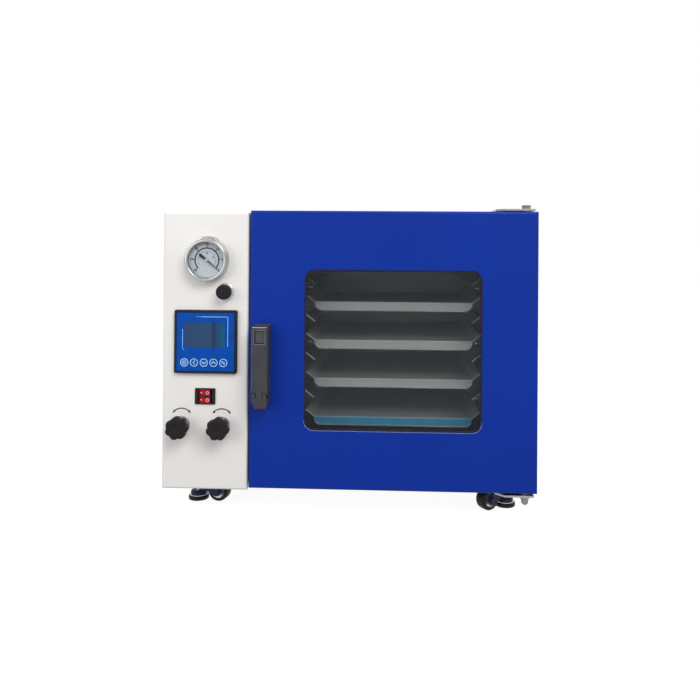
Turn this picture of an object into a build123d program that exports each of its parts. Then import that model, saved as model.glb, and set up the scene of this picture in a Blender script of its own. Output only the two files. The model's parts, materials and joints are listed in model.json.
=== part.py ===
from build123d import *
import os
from math import cos, hypot, pi, radians, sin, tan

# Vacuum oven for the laboratory bench, in millimetres: X to the right, Y to the rear, Z up.
# While it is modelled, the door's front face lies at Y = 0 and the floor at Z = 0.
# White control bay at the left, blue door with a window at the right, on four levelling casters.

# Cabinet
BAY_W = 134.0
REAR_SPACE = 67.5
FLOOR_GAP = 40.0
SHELL_SHEET = 1.2
SHELL_BEND_R = 3.0
SHELL_LIP = 12.0
FRAME_SHEET = 1.5
FRAME_RETURN = 16.0
BASE_SHEET = 1.5
BASE_RISE = 12.0
BASE_RIM = 14.0
REAR_SHEET = 1.5
REAR_RIM = 10.0
CRADLE_W = 24.0

# Louvre slots in the rear panel and in the bay's side
SLOT_L = 46.0
SLOT_H = 4.0
SLOT_PITCH = 12.0
SLOT_ROWS = 7
SLOT_END_R = 1.9
SIDE_LOUVRE_INSET = 92.0
SIDE_LOUVRE_STEP = 64.4
SIDE_LOUVRE_BELOW_TOP = 143.0
REAR_LOUVRE_STEP = 55.2

# Door, hung at its right edge
DOOR_MARGIN_X = 71.5
DOOR_MARGIN_Z = 77.5
DOOR_T = 34.0
DOOR_LIFT = 3.5
DOOR_SHEET = 1.5
DOOR_EDGE_R = 3.8
DOOR_GAP = 3.0
SEAL_GAP = 8.0
PIN_INSET = 16.5
PIN_DEPTH = 16.0
PIN_R = 4.0
BUSH_R = 8.0
BUSH_L = 22.0
PIN_GRIP = 18.0
RUN_FIT = 0.05
CLEAR = 0.3

# Window, glasses and lamps
WINDOW_INSET_X = 13.0
WINDOW_INSET_Z = 13.25
WINDOW_R = 16.0
PANE_T = 3.0
PANE_LAP = 8.0
GLASS_T = 12.0
GLASS_LAP = 18.0
GLASS_PROUD = 4.0
GLASS_FIT = 0.5
GLASS_CHAMFER = 1.5
POCKET_LIP = 3.0
LED_W = 8.0
LED_L = 170.0
LED_GAP = 1.0

# Chamber, its gasket, heaters and insulation
CHAMBER_W = 300.0
CHAMBER_H = 275.0
CHAMBER_D = 300.0
CHAMBER_WALL = 4.0
CHAMBER_R = 18.0
FLANGE_W = 28.0
FRAME_LAP = 8.0
GASKET_INSET = 3.0
GASKET_W = 13.0
HEATER_T = 3.0
HEATER_INSET = 30.0
INSULATION_T = 35.0

# Shelves and the racks that carry them
SHELF_COUNT = 4
LEDGE_COUNT = 8
FIRST_SHELF = 22.0
RACK_HEADROOM = 36.0
SHELF_SHEET = 1.2
SHELF_SETBACK = 16.0
SHELF_REAR_GAP = 10.0
SHELF_FLANGE = 14.5
SHELF_CHAMFER = 7.0
WING_RUN = 13.0
LEDGE_RUN = 15.5
LEDGE_DROP = 12.0
LEDGE_LEG = 12.0
RACK_SHEET = 1.2
STANDOFF_R = 5.0
STANDOFF_L = 5.8
STANDOFF_LEVELS = (0, 3, 6)
STANDOFF_INSET = 60.0

# Control bay
FASCIA_SET = 2.0
FASCIA_SHEET = 1.5
FASCIA_EDGE_R = 3.0
BAY_MARGIN = 8.0
BAY_TOP_MARGIN = 20.0

# Vacuum gauge
GAUGE_DX = 4.0
GAUGE_BELOW_TOP = 74.0
BEZEL_R = 33.0
BEZEL_PROUD = 18.0
GAUGE_VIEW_R = 27.5
GAUGE_BODY_R = 29.0
GAUGE_BODY_L = 24.0
GAUGE_WALL = 1.5
BEZEL_ROLL = 2.5
BEZEL_REAR_CUT = 1.0
VIEW_LAP = 0.8
SOCKET_R = 7.0
SOCKET_L = 8.0
SOCKET_FLOOR = 3.0
DIAL_DEPTH = 8.0
DIAL_T = 1.0
LENS_T = 2.0
LENS_SET = 2.0
POINTER_L = 24.6
POINTER_TAIL = 16.0
POINTER_ZERO = -39.0
POINTER_HUB_R = 4.0
POINTER_SHAFT_R = 1.5
POINTER_SHAFT_L = 6.0
POINTER_LIFT = 3.0
POINTER_T = 0.8
POINTER_ROOT_W = 2.4
POINTER_TIP_W = 0.6
POINTER_TAIL_W = 2.7
POINTER_HUB_RISE = 1.0
CASE_BUMP_W = 26.0
CASE_BUMP_H = 5.0
CASE_BUMP_R = 4.0
CASE_BUMP_L = 9.0
CASE_BUMP_SET = 1.0

# Temperature controller
CONTROL_DX = 2.0
CONTROL_BELOW_TOP = 200.5
CONTROL_W = 98.0
CONTROL_FRAME = 4.0
CONTROL_PROUD = 7.0
CONTROL_BODY_W = 91.0
CONTROL_BODY_L = 68.0
CONTROL_CORNER_R = 3.0
CONTROL_CHAMFER = 1.2
FACE_CORNER_R = 1.5
FACE_SINK = 0.8
DISPLAY_W = 64.6
DISPLAY_H = 40.0
DISPLAY_T = 1.5
DISPLAY_DX = -1.5
DISPLAY_DZ = 10.1
KEY_COUNT = 5
KEY_R = 6.6
KEY_PITCH = 15.25
KEY_DX = -2.0
KEY_DZ = -32.0
KEY_T = 2.4
KEY_PROUD = 0.6
KEY_TRAVEL = 0.8
KEY_EDGE_R = 0.4

# Double rocker switch
SWITCH_DX = 1.0
SWITCH_BELOW_TOP = 285.5
SWITCH_W = 32.0
SWITCH_H = 25.0
SWITCH_PROUD = 2.5
SWITCH_BODY_L = 26.0
SWITCH_CORNER_R = 1.5
SWITCH_CHAMFER = 0.8
SWITCH_WALL_X = 1.5
SWITCH_WALL_Z = 1.0
POCKET_GAP_X = 1.0
ROCKER_W = 21.0
ROCKER_H = 9.0
ROCKER_PITCH = 11.2
ROCKER_TILT = 12.0
ROCKER_DEPTH = 8.0
ROCKER_SINK = 1.0
ROCKER_TAPER = 0.5
ROCKER_TAIL = 4.0
ROCKER_TAIL_W = 9.0
ROCKER_PIN_R = 1.0
ROCKER_PIN_BITE = 0.6

# Fuse holder
FUSE_DX = 31.5
FUSE_BELOW_TOP = 123.0
FUSE_CAP_R = 11.5
FUSE_CAP_L = 15.0
FUSE_FLANGE_R = 12.5
FUSE_FLANGE_T = 3.0
FUSE_SPIGOT_R = 6.0
FUSE_SPIGOT_L = 9.0
FUSE_EDGE_R = 2.0
FUSE_BODY_R = 8.0
FUSE_BODY_L = 34.0
FUSE_FLUTES = 16
FLUTE_R = 1.1
FLUTE_OUT = 0.5

# Valve knobs
VALVE_BELOW_TOP = 330.0
VENT_DX = -36.0
PUMP_DX = 27.0
KNOB_R = 17.5
KNOB_LOBES = 7
LOBE_R = 4.6
VALLEY_R = 1.4
KNOB_CHAMFER = 1.2
KNOB_PROUD = 30.0
KNOB_T = 16.0
KNOB_NECK_R = 7.0
BONNET_R = 7.5
BONNET_NUT_R = 11.0
BONNET_NUT_T = 5.0
BONNET_PROUD = 8.5
STEM_R = 3.0
STEM_L = 14.0
VALVE_W = 28.0
VALVE_L = 34.0
PIPE_R = 4.0
PIPE_BEND = 14.0
PIPE_SPLIT = 9.0
PIPE_REAR = 46.0
TEE_W = 11.0
TEE_RUN = 42.0
GAUGE_PIPE_BEND = 8.4
CHAMBER_PORT_DX = -98.5
CHAMBER_PORT_DZ = 71.5

# Rear connections
PORT_BESIDE_BAY = 6.0
PORT_BORE_R = 12.0
PORT_WALL = 2.0
PORT_PROUD = 26.0
PORT_FLANGE_R = 20.0
PORT_FLANGE_T = 4.0
PORT_INSIDE = 16.0
INLET_DX = -3.0
INLET_RISE = 46.0
INLET_W = 48.0
INLET_H = 28.0
INLET_MOUTH_W = 25.0
INLET_MOUTH_H = 17.0
INLET_DEPTH = 17.0
INLET_FLANGE_T = 2.5
INLET_WALL = 2.0
INLET_CORNER_R = 4.0
BLADE_L = 11.0
BLADE_W = 4.0
BLADE_T = 2.0
BLADE_PITCH = 14.0
BLADE_OFFSET = 2.0

# Swing handle and latch
HANDLE_DX = 21.0
LATCH_BELOW_MIDDLE = 75.5
HANDLE_W = 25.0
ROSETTE_T = 5.0
ROSETTE_TOP = 115.0
HANDLE_THICK = 23.0
HUB_DROP = 11.0
HUB_CUT_X = 6.0
HUB_CUT_Z = 12.0
LEVER_PIVOT = 17.0
LEVER_TOP = 113.0
TONGUE_W = 9.0
LEVER_PIN_R = 2.0
LEVER_CHAMFER = 2.0
BUTTON_W = 15.5
BUTTON_H = 19.4
BUTTON_MARGIN = 6.0
BUTTON_T = 5.0
BUTTON_SINK = 2.0
BUTTON_TRAVEL = 3.0
BUTTON_CHAMFER = 1.0
SPINDLE_R = 7.0
CAM_DEPTH = 14.0
CAM_T = 4.0
CAM_H = 9.0
CAM_SHORT = 0.8
KEEPER_H = 26.0

# Hinge plates
HINGE_T = 3.0
HINGE_W = 58.5
HINGE_INSET = 4.5
HINGE_CHAMFER = 14.0
HINGE_FRONT = 4.0
HINGE_TOP_REAR = 85.0
HINGE_LOW_REAR = 58.0
HINGE_SPACER = 5.0
HEAD_R = 7.0
HEAD_T = 6.0
ACORN_R = 5.5
ACORN_L = 9.0
WASHER_R = 7.0

# Levelling casters
CASTER_INSET_X = 38.0
CASTER_INSET_Y = 33.0
CASTER_HEADINGS = {"fl": 348.0, "fr": 215.0, "rl": 338.0, "rr": 160.0}
TRAIL = 38.0
WHEEL_R = 17.5
WHEEL_W = 18.0
WHEEL_LIFT = 0.5
WHEEL_EDGE_R = 3.0
DISH_R = 11.0
DISH_DEPTH = 2.0
WHEEL_BOSS_R = 5.5
WHEEL_ROOM = 2.0
HUB_R = 11.0
HUB_LOW = 20.0
ARM_T = 2.5
ARM_GAP = 0.5
ARM_TOP = 36.0
ARM_LOW = 22.0
ARM_NECK_X = 33.5
AXLE_R = 3.0
AXLE_BOSS_R = 8.0
AXLE_NUT_R = 5.0
AXLE_NUT_T = 3.0
PAD_R = 16.5
PAD_T = 7.0
PAD_EDGE = 1.0
PAD_DISC_INSET = 1.5
PAD_DISC_T = 1.5
THUMB_R = 13.0
THUMB_T = 5.0
FOOT_STEM_R = 4.0
FOOT_STEM_TOP = 32.0
FOOT_TRAVEL = 6.0
KINGPIN_R = 6.0
KINGPIN_HEAD_R = 8.0
KINGPIN_HEAD_T = 2.5
KINGPIN_NUT_R = 9.0
KINGPIN_NUT_T = 6.0
KINGPIN_DROP = 10.0

# Places worked out from the sizes above
door_w = CHAMBER_W + 2 * DOOR_MARGIN_X
door_h = CHAMBER_H + 2 * DOOR_MARGIN_Z
window_w = CHAMBER_W - 2 * WINDOW_INSET_X
window_h = CHAMBER_H - 2 * WINDOW_INSET_Z
side_x = (BAY_W + DOOR_GAP + door_w) / 2
low_z = FLOOR_GAP
top_z = FLOOR_GAP + door_h
frame_y = DOOR_T + SEAL_GAP
frame_back = frame_y + FRAME_SHEET
chamber_back = frame_back + CHAMBER_D
rear_y = chamber_back + CHAMBER_WALL + INSULATION_T + REAR_SPACE
door_x1 = side_x
door_x0 = door_x1 - door_w
door_z0 = low_z + DOOR_LIFT
door_z1 = door_z0 + door_h
door_x = (door_x0 + door_x1) / 2
door_z = (door_z0 + door_z1) / 2
inner_x = side_x - SHELL_SHEET
inner_top = top_z - SHELL_SHEET
base_z = low_z + BASE_RISE
base_top = base_z + BASE_SHEET
bay_x1 = door_x0 - DOOR_GAP
bay_x = (bay_x1 - side_x) / 2
bay_y = FASCIA_SET
bay_back = bay_y + FASCIA_SHEET
pin_x = door_x1 - PIN_INSET
glass_y1 = DOOR_T + GLASS_PROUD
glass_y0 = glass_y1 - GLASS_T
glass_w = CHAMBER_W + 2 * GLASS_LAP
glass_h = CHAMBER_H + 2 * GLASS_LAP
chamber_low = door_z - CHAMBER_H / 2
port_in_x = door_x + CHAMBER_PORT_DX
port_in_z = door_z + CHAMBER_PORT_DZ
handle_x = door_x0 + HANDLE_DX
latch_z = door_z - LATCH_BELOW_MIDDLE
handle_back = -ROSETTE_T - CLEAR
handle_front = handle_back - HANDLE_THICK
lever_y = (handle_back + handle_front) / 2
lever_z = latch_z + LEVER_PIVOT
lever_top = latch_z + LEVER_TOP
axle_z = WHEEL_R + WHEEL_LIFT
hub_top = base_z - CLEAR
gauge_x, gauge_z = bay_x + GAUGE_DX, top_z - GAUGE_BELOW_TOP
control_x, control_z = bay_x + CONTROL_DX, top_z - CONTROL_BELOW_TOP
switch_x, switch_z = bay_x + SWITCH_DX, top_z - SWITCH_BELOW_TOP
fuse_x, fuse_z = bay_x + FUSE_DX, top_z - FUSE_BELOW_TOP
vent_x, pump_x = bay_x + VENT_DX, bay_x + PUMP_DX
valve_z = top_z - VALVE_BELOW_TOP
port_x = bay_x1 + PORT_BESIDE_BAY
port_z = valve_z - PIPE_SPLIT
inlet_x, inlet_z = bay_x + INLET_DX, low_z + INLET_RISE
caster_x = side_x - CASTER_INSET_X
caster_front_y = frame_y + CASTER_INSET_Y
caster_rear_y = rear_y - REAR_SHEET - CASTER_INSET_Y - FRAME_RETURN
CENTRES = {
    "fl": (-caster_x, caster_front_y),
    "fr": (caster_x, caster_front_y),
    "rl": (-caster_x, caster_rear_y),
    "rr": (caster_x, caster_rear_y),
}


# Shapes used by many pieces

def block(x0, x1, y0, y1, z0, z1):
    centre = ((x0 + x1) / 2, (y0 + y1) / 2, (z0 + z1) / 2)
    return Pos(*centre) * Box(x1 - x0, y1 - y0, z1 - z0)


def plate(cx, cz, w, h, y0, y1, r=0.0):
    """An upright plate centred on (cx, cz), with corners of radius r seen from the front."""
    body = block(cx - w / 2, cx + w / 2, y0, y1, cz - h / 2, cz + h / 2)
    return fillet(body.edges().filter_by(Axis.Y), r) if r else body


def rod_x(y, z, x0, x1, r):
    axis = Plane(origin=(x0, y, z), z_dir=(1, 0, 0))
    return axis * Cylinder(r, x1 - x0, align=(Align.CENTER, Align.CENTER, Align.MIN))


def rod_y(x, z, y0, y1, r):
    axis = Plane(origin=(x, y0, z), x_dir=(1, 0, 0), z_dir=(0, 1, 0))
    return axis * Cylinder(r, y1 - y0, align=(Align.CENTER, Align.CENTER, Align.MIN))


def rod_z(x, y, z0, z1, r):
    return Pos(x, y, z0) * Cylinder(r, z1 - z0, align=(Align.CENTER, Align.CENTER, Align.MIN))


def hex_z(x, y, z0, z1, r):
    return Pos(x, y, z0) * extrude(RegularPolygon(r, 6), amount=z1 - z0)


def prism(points, direction, length):
    """The closed outline through 3-D points, extruded along a direction."""
    return extrude(make_face(Polyline(*points, close=True)), amount=length, dir=direction)


def turned_y(x, z, points):
    """An outline of (radius, y) points turned about the Y axis through (x, z)."""
    return Pos(x, 0, z) * revolve(make_face(Polyline(*points, close=True)), Axis.Y)


def pipe(points, bend=PIPE_BEND):
    """A round tube of PIPE_R along straight runs with tangent arcs between them."""
    path = FilletPolyline(*points, radius=bend) if len(points) > 2 else Line(*points)
    start = Vector(*points[0])
    section = Plane(origin=start, z_dir=Vector(*points[1]) - start) * Circle(PIPE_R)
    return sweep(section, path=path)


# Cabinet sheet metal

def louvres(cut, rows):
    """Copies of one slot cutter, one pitch apart upward."""
    return [Pos(0, 0, row * SLOT_PITCH) * cut for row in range(rows)]


def outer_shell():
    """One bent sheet: left side, top and right side, with a lip turned in under each side."""
    skin = block(-side_x, side_x, frame_back, rear_y, low_z, top_z)
    upper = skin.edges().filter_by(Axis.Y).group_by(Axis.Z)[-1]
    skin = fillet(upper, SHELL_BEND_R)
    skin -= block(-inner_x, inner_x, frame_back, rear_y, low_z, inner_top)
    for side in (-1, 1):
        x0, x1 = sorted((side * inner_x, side * (inner_x - SHELL_LIP)))
        lip_y0 = frame_back + FRAME_RETURN + CLEAR
        skin += block(x0, x1, lip_y0, rear_y - REAR_SHEET, low_z, low_z + SHELL_SHEET)
    slot = block(-side_x - 1, -inner_x + 1, 0, SLOT_L, 0, SLOT_H)
    slot = fillet(slot.edges().filter_by(Axis.X), SLOT_END_R)
    for column in (0, 1):
        y = rear_y - SIDE_LOUVRE_INSET - column * SIDE_LOUVRE_STEP
        skin -= Pos(0, y, top_z - SIDE_LOUVRE_BELOW_TOP) * Compound(louvres(slot, SLOT_ROWS))
    return skin


def base_plate():
    """Floor of the cabinet: a tray with its rim turned up, and two hat rails under the insulation."""
    tray = block(-inner_x, inner_x, frame_back, rear_y - REAR_SHEET, base_z, base_top + BASE_RIM)
    tray -= block(-inner_x + BASE_SHEET, inner_x - BASE_SHEET, frame_back,
                  rear_y - REAR_SHEET - BASE_SHEET, base_top, base_top + BASE_RIM)
    rail_top = insulation_box()[4]
    for y in (frame_back + CHAMBER_D / 4, frame_back + CHAMBER_D * 3 / 4):
        rail = block(door_x - CHAMBER_W / 2, door_x + CHAMBER_W / 2, y - CRADLE_W / 2,
                     y + CRADLE_W / 2, base_top, rail_top)
        rail -= block(door_x - CHAMBER_W / 2, door_x + CHAMBER_W / 2, y - CRADLE_W / 2 + BASE_SHEET,
                      y + CRADLE_W / 2 - BASE_SHEET, base_top, rail_top - BASE_SHEET)
        tray += rail
    for x, y in CENTRES.values():
        tray -= rod_z(x, y, base_z, base_top, KINGPIN_R)
    return tray


def rear_panel():
    """Back sheet with a rim turned forward, louvres over the bay and holes for the connections."""
    sheet = block(-inner_x, inner_x, rear_y - REAR_SHEET - REAR_RIM, rear_y, low_z, inner_top)
    sheet -= block(-inner_x + REAR_SHEET, inner_x - REAR_SHEET, rear_y - REAR_SHEET - REAR_RIM,
                   rear_y - REAR_SHEET, low_z, inner_top - REAR_SHEET)
    sheet -= block(-inner_x, inner_x, rear_y - REAR_SHEET - REAR_RIM, rear_y - REAR_SHEET,
                   low_z, base_top + BASE_RIM)
    slot = block(-SLOT_L / 2, SLOT_L / 2, rear_y - REAR_SHEET, rear_y, 0, SLOT_H)
    slot = fillet(slot.edges().filter_by(Axis.Y), SLOT_END_R)
    for x in (control_x - REAR_LOUVRE_STEP / 2, control_x + REAR_LOUVRE_STEP / 2):
        sheet -= Pos(x, 0, control_z) * Compound(louvres(slot, SLOT_ROWS))
    sheet -= rod_y(port_x, port_z, rear_y - REAR_SHEET, rear_y,
                   PORT_BORE_R + PORT_WALL)
    sheet -= rod_y(vent_x, port_z, rear_y - REAR_SHEET, rear_y, PIPE_R)
    cut_w = INLET_MOUTH_W + 2 * INLET_WALL
    sheet -= plate(inlet_x, inlet_z, cut_w, INLET_MOUTH_H + 2 * INLET_WALL,
                   rear_y - REAR_SHEET, rear_y)
    return sheet


def front_frame():
    """Front sheet round the chamber mouth and the bay, with its edges turned back into the shell."""
    sheet = block(-side_x, side_x, frame_y, frame_back, low_z, top_z)
    rim = block(-inner_x, inner_x, frame_back, frame_back + FRAME_RETURN, low_z, inner_top)
    rim -= block(-inner_x + FRAME_SHEET, inner_x - FRAME_SHEET, frame_back,
                 frame_back + FRAME_RETURN, low_z + FRAME_SHEET, inner_top - FRAME_SHEET)
    rim -= block(-inner_x, inner_x, frame_back, frame_back + FRAME_RETURN,
                 base_z, base_top + BASE_RIM)
    sheet += rim
    reach = FLANGE_W - FRAME_LAP
    sheet -= plate(door_x, door_z, CHAMBER_W + 2 * reach, CHAMBER_H + 2 * reach,
                   frame_y, frame_back, CHAMBER_R + reach)
    sheet -= block(-side_x + BAY_MARGIN, bay_x1 - BAY_MARGIN, frame_y, frame_back,
                   low_z + BAY_TOP_MARGIN, top_z - BAY_TOP_MARGIN)
    return sheet


def control_fascia():
    """White box front of the control bay: a face with four returns back to the front frame."""
    body = block(-side_x, bay_x1, bay_y, frame_y, low_z, top_z)
    body = fillet(body.faces().sort_by(Axis.Y)[0].edges(), FASCIA_EDGE_R)
    body -= block(-side_x + FASCIA_SHEET, bay_x1 - FASCIA_SHEET, bay_back, frame_y,
                  low_z + FASCIA_SHEET, top_z - FASCIA_SHEET)
    body -= rod_y(gauge_x, gauge_z, bay_y, bay_back, GAUGE_BODY_R)
    body -= plate(control_x, control_z, CONTROL_BODY_W, CONTROL_BODY_W, bay_y, bay_back)
    body -= plate(switch_x, switch_z, switch_body_w, switch_body_h, bay_y, bay_back)
    body -= rod_y(fuse_x, fuse_z, bay_y, bay_back, FUSE_BODY_R)
    for x in (vent_x, pump_x):
        body -= rod_y(x, valve_z, bay_y, bay_back, BONNET_R)
    body -= block(bay_x1 - FASCIA_SHEET, bay_x1, CAM_DEPTH - CLEAR, CAM_DEPTH + CAM_T + CLEAR,
                  latch_z - KEEPER_H / 2, latch_z + KEEPER_H / 2)
    return body


def kingpins():
    """Four caster studs: a head captive in each yoke, and a hexagon nut over the base plate."""
    studs = []
    for x, y in CENTRES.values():
        stud = rod_z(x, y, base_z - KINGPIN_DROP, base_top + KINGPIN_NUT_T, KINGPIN_R)
        stud += rod_z(x, y, base_z - KINGPIN_DROP - KINGPIN_HEAD_T, base_z - KINGPIN_DROP,
                      KINGPIN_HEAD_R)
        stud += hex_z(x, y, base_top, base_top + KINGPIN_NUT_T, KINGPIN_NUT_R)
        studs.append(stud)
    return Compound(studs)


# Chamber

def chamber():
    """Welded box open at the front, with a flange behind the front frame and a rear port."""
    wide = CHAMBER_W + 2 * CHAMBER_WALL
    high = CHAMBER_H + 2 * CHAMBER_WALL
    body = plate(door_x, door_z, wide, high, frame_back, chamber_back + CHAMBER_WALL,
                 CHAMBER_R + CHAMBER_WALL)
    body += plate(door_x, door_z, CHAMBER_W + 2 * FLANGE_W, CHAMBER_H + 2 * FLANGE_W,
                  frame_back, frame_back + CHAMBER_WALL, CHAMBER_R + FLANGE_W)
    body -= plate(door_x, door_z, CHAMBER_W, CHAMBER_H, frame_back, chamber_back, CHAMBER_R)
    body -= rod_y(port_in_x, port_in_z, chamber_back, chamber_back + CHAMBER_WALL,
                  PIPE_R)
    return body


def chamber_gasket():
    """Square-section seal on the flange, facing the door's inner glass."""
    y0 = glass_y1 + CLEAR
    inner_w = CHAMBER_W + 2 * GASKET_INSET
    inner_h = CHAMBER_H + 2 * GASKET_INSET
    ring = plate(door_x, door_z, inner_w + 2 * GASKET_W, inner_h + 2 * GASKET_W, y0, frame_back,
                 CHAMBER_R + GASKET_INSET + GASKET_W)
    return ring - plate(door_x, door_z, inner_w, inner_h, y0, frame_back, CHAMBER_R + GASKET_INSET)


def jacket_heaters():
    """Four flat heater pads against the outside of the chamber walls."""
    y0 = frame_back + CHAMBER_WALL + HEATER_INSET
    y1 = chamber_back - HEATER_INSET
    wall_x = CHAMBER_W / 2 + CHAMBER_WALL
    wall_z = CHAMBER_H / 2 + CHAMBER_WALL
    span_x = CHAMBER_W / 2 - HEATER_INSET
    span_z = CHAMBER_H / 2 - HEATER_INSET
    pads = [
        block(door_x - span_x, door_x + span_x, y0, y1, door_z + wall_z, door_z + wall_z + HEATER_T),
        block(door_x - span_x, door_x + span_x, y0, y1, door_z - wall_z - HEATER_T, door_z - wall_z),
        block(door_x + wall_x, door_x + wall_x + HEATER_T, y0, y1, door_z - span_z, door_z + span_z),
        block(door_x - wall_x - HEATER_T, door_x - wall_x, y0, y1, door_z - span_z, door_z + span_z),
    ]
    return Compound(pads)


def insulation_box():
    """Outer limits of the insulation, as x0, x1, y0, y1, z0, z1."""
    reach = CHAMBER_WALL + HEATER_T + CLEAR + INSULATION_T
    return (door_x - CHAMBER_W / 2 - reach, door_x + CHAMBER_W / 2 + reach,
            frame_back + CHAMBER_WALL, chamber_back + CHAMBER_WALL + INSULATION_T,
            door_z - CHAMBER_H / 2 - reach, door_z + CHAMBER_H / 2 + reach)


def insulation():
    """Fibre box round the chamber, closed behind, with a hole for the chamber pipe."""
    body = block(*insulation_box())
    reach = CHAMBER_WALL + HEATER_T + CLEAR
    body -= plate(door_x, door_z, CHAMBER_W + 2 * reach, CHAMBER_H + 2 * reach,
                  frame_back + CHAMBER_WALL, chamber_back + CHAMBER_WALL)
    body -= rod_y(port_in_x, port_in_z, chamber_back + CHAMBER_WALL,
                  insulation_box()[3], PIPE_R)
    return body


# Racks and shelves

shelf_slope = LEDGE_DROP / LEDGE_RUN
shelf_y0 = frame_back + SHELF_SETBACK
shelf_d = CHAMBER_D - SHELF_SETBACK - SHELF_REAR_GAP
ledge_pitch = (CHAMBER_H - FIRST_SHELF - RACK_HEADROOM) / (LEDGE_COUNT - 1)
rack_x = CHAMBER_W / 2 - STANDOFF_L - RACK_SHEET
shelf_half = rack_x - LEDGE_RUN


def ledge_z(level):
    return chamber_low + FIRST_SHELF + level * ledge_pitch


def rack(side):
    """Side sheet on three pairs of standoffs, with a sloping ledge at each shelf level."""
    slant = hypot(LEDGE_RUN, LEDGE_DROP) / LEDGE_RUN
    drop = RACK_SHEET * slant
    sheet_z0 = ledge_z(0) - SHELF_SHEET * slant - drop
    sheet_z1 = ledge_z(LEDGE_COUNT - 1) + LEDGE_DROP + LEDGE_LEG
    y0 = shelf_y0 + SHELF_SHEET
    y1 = shelf_y0 + shelf_d - SHELF_SHEET
    x_in = door_x + side * rack_x
    x_out = x_in + side * RACK_SHEET
    body = block(*sorted((x_in, x_out)), y0, y1, sheet_z0, sheet_z1)
    for level in range(LEDGE_COUNT):
        low = ledge_z(level) - SHELF_SHEET * slant
        x_tip = door_x + side * shelf_half
        outline = [(x_tip, y0, low), (x_in, y0, low + LEDGE_DROP),
                   (x_in, y0, low + LEDGE_DROP - drop), (x_tip, y0, low - drop)]
        body += prism(outline, (0, 1, 0), y1 - y0)
    wall_x = door_x + side * CHAMBER_W / 2
    for level in STANDOFF_LEVELS:
        z = ledge_z(level) + (ledge_pitch + LEDGE_DROP) / 2 - RACK_SHEET
        for y in (y0 + STANDOFF_INSET, y1 - STANDOFF_INSET):
            body += rod_x(y, z, *sorted((x_out, wall_x)), STANDOFF_R)
    return body


def shelf(level):
    """Sheet tray: side wings bent up to lie on the ledges, front and rear edges bent down."""
    z = ledge_z(level)
    half = shelf_half
    slant = hypot(LEDGE_RUN, LEDGE_DROP) / LEDGE_RUN
    rise = WING_RUN * shelf_slope
    under = SHELF_SHEET * slant
    y0 = shelf_y0
    section = [(-half, z), (-half - WING_RUN, z + rise), (-half - WING_RUN, z + rise - under),
               (-half, z - under), (half, z - under), (half + WING_RUN, z + rise - under),
               (half + WING_RUN, z + rise), (half, z)]
    tray = prism([(door_x + x, y0, h) for x, h in section], (0, 1, 0), shelf_d)
    cut = SHELF_CHAMFER
    low = z - SHELF_FLANGE
    edge = [(-half, z - under), (-half, low + cut), (-half + cut, low), (half - cut, low),
            (half, low + cut), (half, z - under)]
    for y in (y0, y0 + shelf_d - SHELF_SHEET):
        tray += prism([(door_x + x, y, h) for x, h in edge], (0, 1, 0), SHELF_SHEET)
    return tray


# Door

def door_shell():
    """Blue sheet pan with the window cut in its face, and a bush for each hinge pin."""
    body = block(door_x0, door_x1, 0, DOOR_T, door_z0, door_z1)
    body = fillet(body.faces().sort_by(Axis.Y)[0].edges(), DOOR_EDGE_R)
    body -= block(door_x0 + DOOR_SHEET, door_x1 - DOOR_SHEET, DOOR_SHEET, DOOR_T,
                  door_z0 + DOOR_SHEET, door_z1 - DOOR_SHEET)
    body -= plate(door_x, door_z, window_w, window_h, 0, DOOR_SHEET, WINDOW_R)
    for z0, z1 in ((door_z1 - DOOR_SHEET - BUSH_L, door_z1), (door_z0, door_z0 + DOOR_SHEET + BUSH_L)):
        body += rod_z(pin_x, PIN_DEPTH, z0 + DOOR_SHEET / 2, z1 - DOOR_SHEET / 2, BUSH_R)
        body -= rod_z(pin_x, PIN_DEPTH, z0, z1, PIN_R + RUN_FIT)
    body -= rod_y(handle_x, latch_z, 0, DOOR_SHEET, SPINDLE_R + RUN_FIT)
    body -= block(door_x0, door_x0 + DOOR_SHEET, CAM_DEPTH - CLEAR, CAM_DEPTH + CAM_T + CLEAR,
                  latch_z - KEEPER_H / 2, latch_z + KEEPER_H / 2)
    return body


def door_inner_plate():
    """Inner sheet of the door, with a pocket that holds the thick glass from the front."""
    x0, x1 = door_x0 + DOOR_SHEET, door_x1 - DOOR_SHEET
    body = block(x0, x1, DOOR_T - DOOR_SHEET, DOOR_T, door_z0 + DOOR_SHEET, door_z1 - DOOR_SHEET)
    pocket_w = glass_w + 2 * GLASS_FIT
    pocket_h = glass_h + 2 * GLASS_FIT
    pocket_y = glass_y0 - DOOR_SHEET
    body += plate(door_x, door_z, pocket_w + 2 * DOOR_SHEET, pocket_h + 2 * DOOR_SHEET,
                  pocket_y, DOOR_T)
    body -= plate(door_x, door_z, pocket_w, pocket_h, glass_y0, DOOR_T)
    body -= plate(door_x, door_z, window_w + 2 * POCKET_LIP, window_h + 2 * POCKET_LIP,
                  pocket_y, glass_y0, WINDOW_R)
    return body


def outer_pane():
    return plate(door_x, door_z, window_w + 2 * PANE_LAP, window_h + 2 * PANE_LAP,
                 DOOR_SHEET, DOOR_SHEET + PANE_T, WINDOW_R)


def inner_glass():
    body = plate(door_x, door_z, glass_w, glass_h, glass_y0, glass_y1, WINDOW_R)
    return chamfer(body.faces().sort_by(Axis.Y)[-1].edges(), GLASS_CHAMFER)


def led_bars():
    """Two lamp bars on the pocket's lip, just outside the window."""
    y1 = glass_y0 - DOOR_SHEET
    y0 = y1 - LED_W
    x0 = door_x - window_w / 2 - POCKET_LIP - LED_W - LED_GAP
    bar = block(x0, x0 + LED_W, y0, y1, door_z - LED_L / 2, door_z + LED_L / 2)
    return Compound([bar, mirror(bar, Plane.YZ.offset(door_x))])


# Hinges

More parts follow.
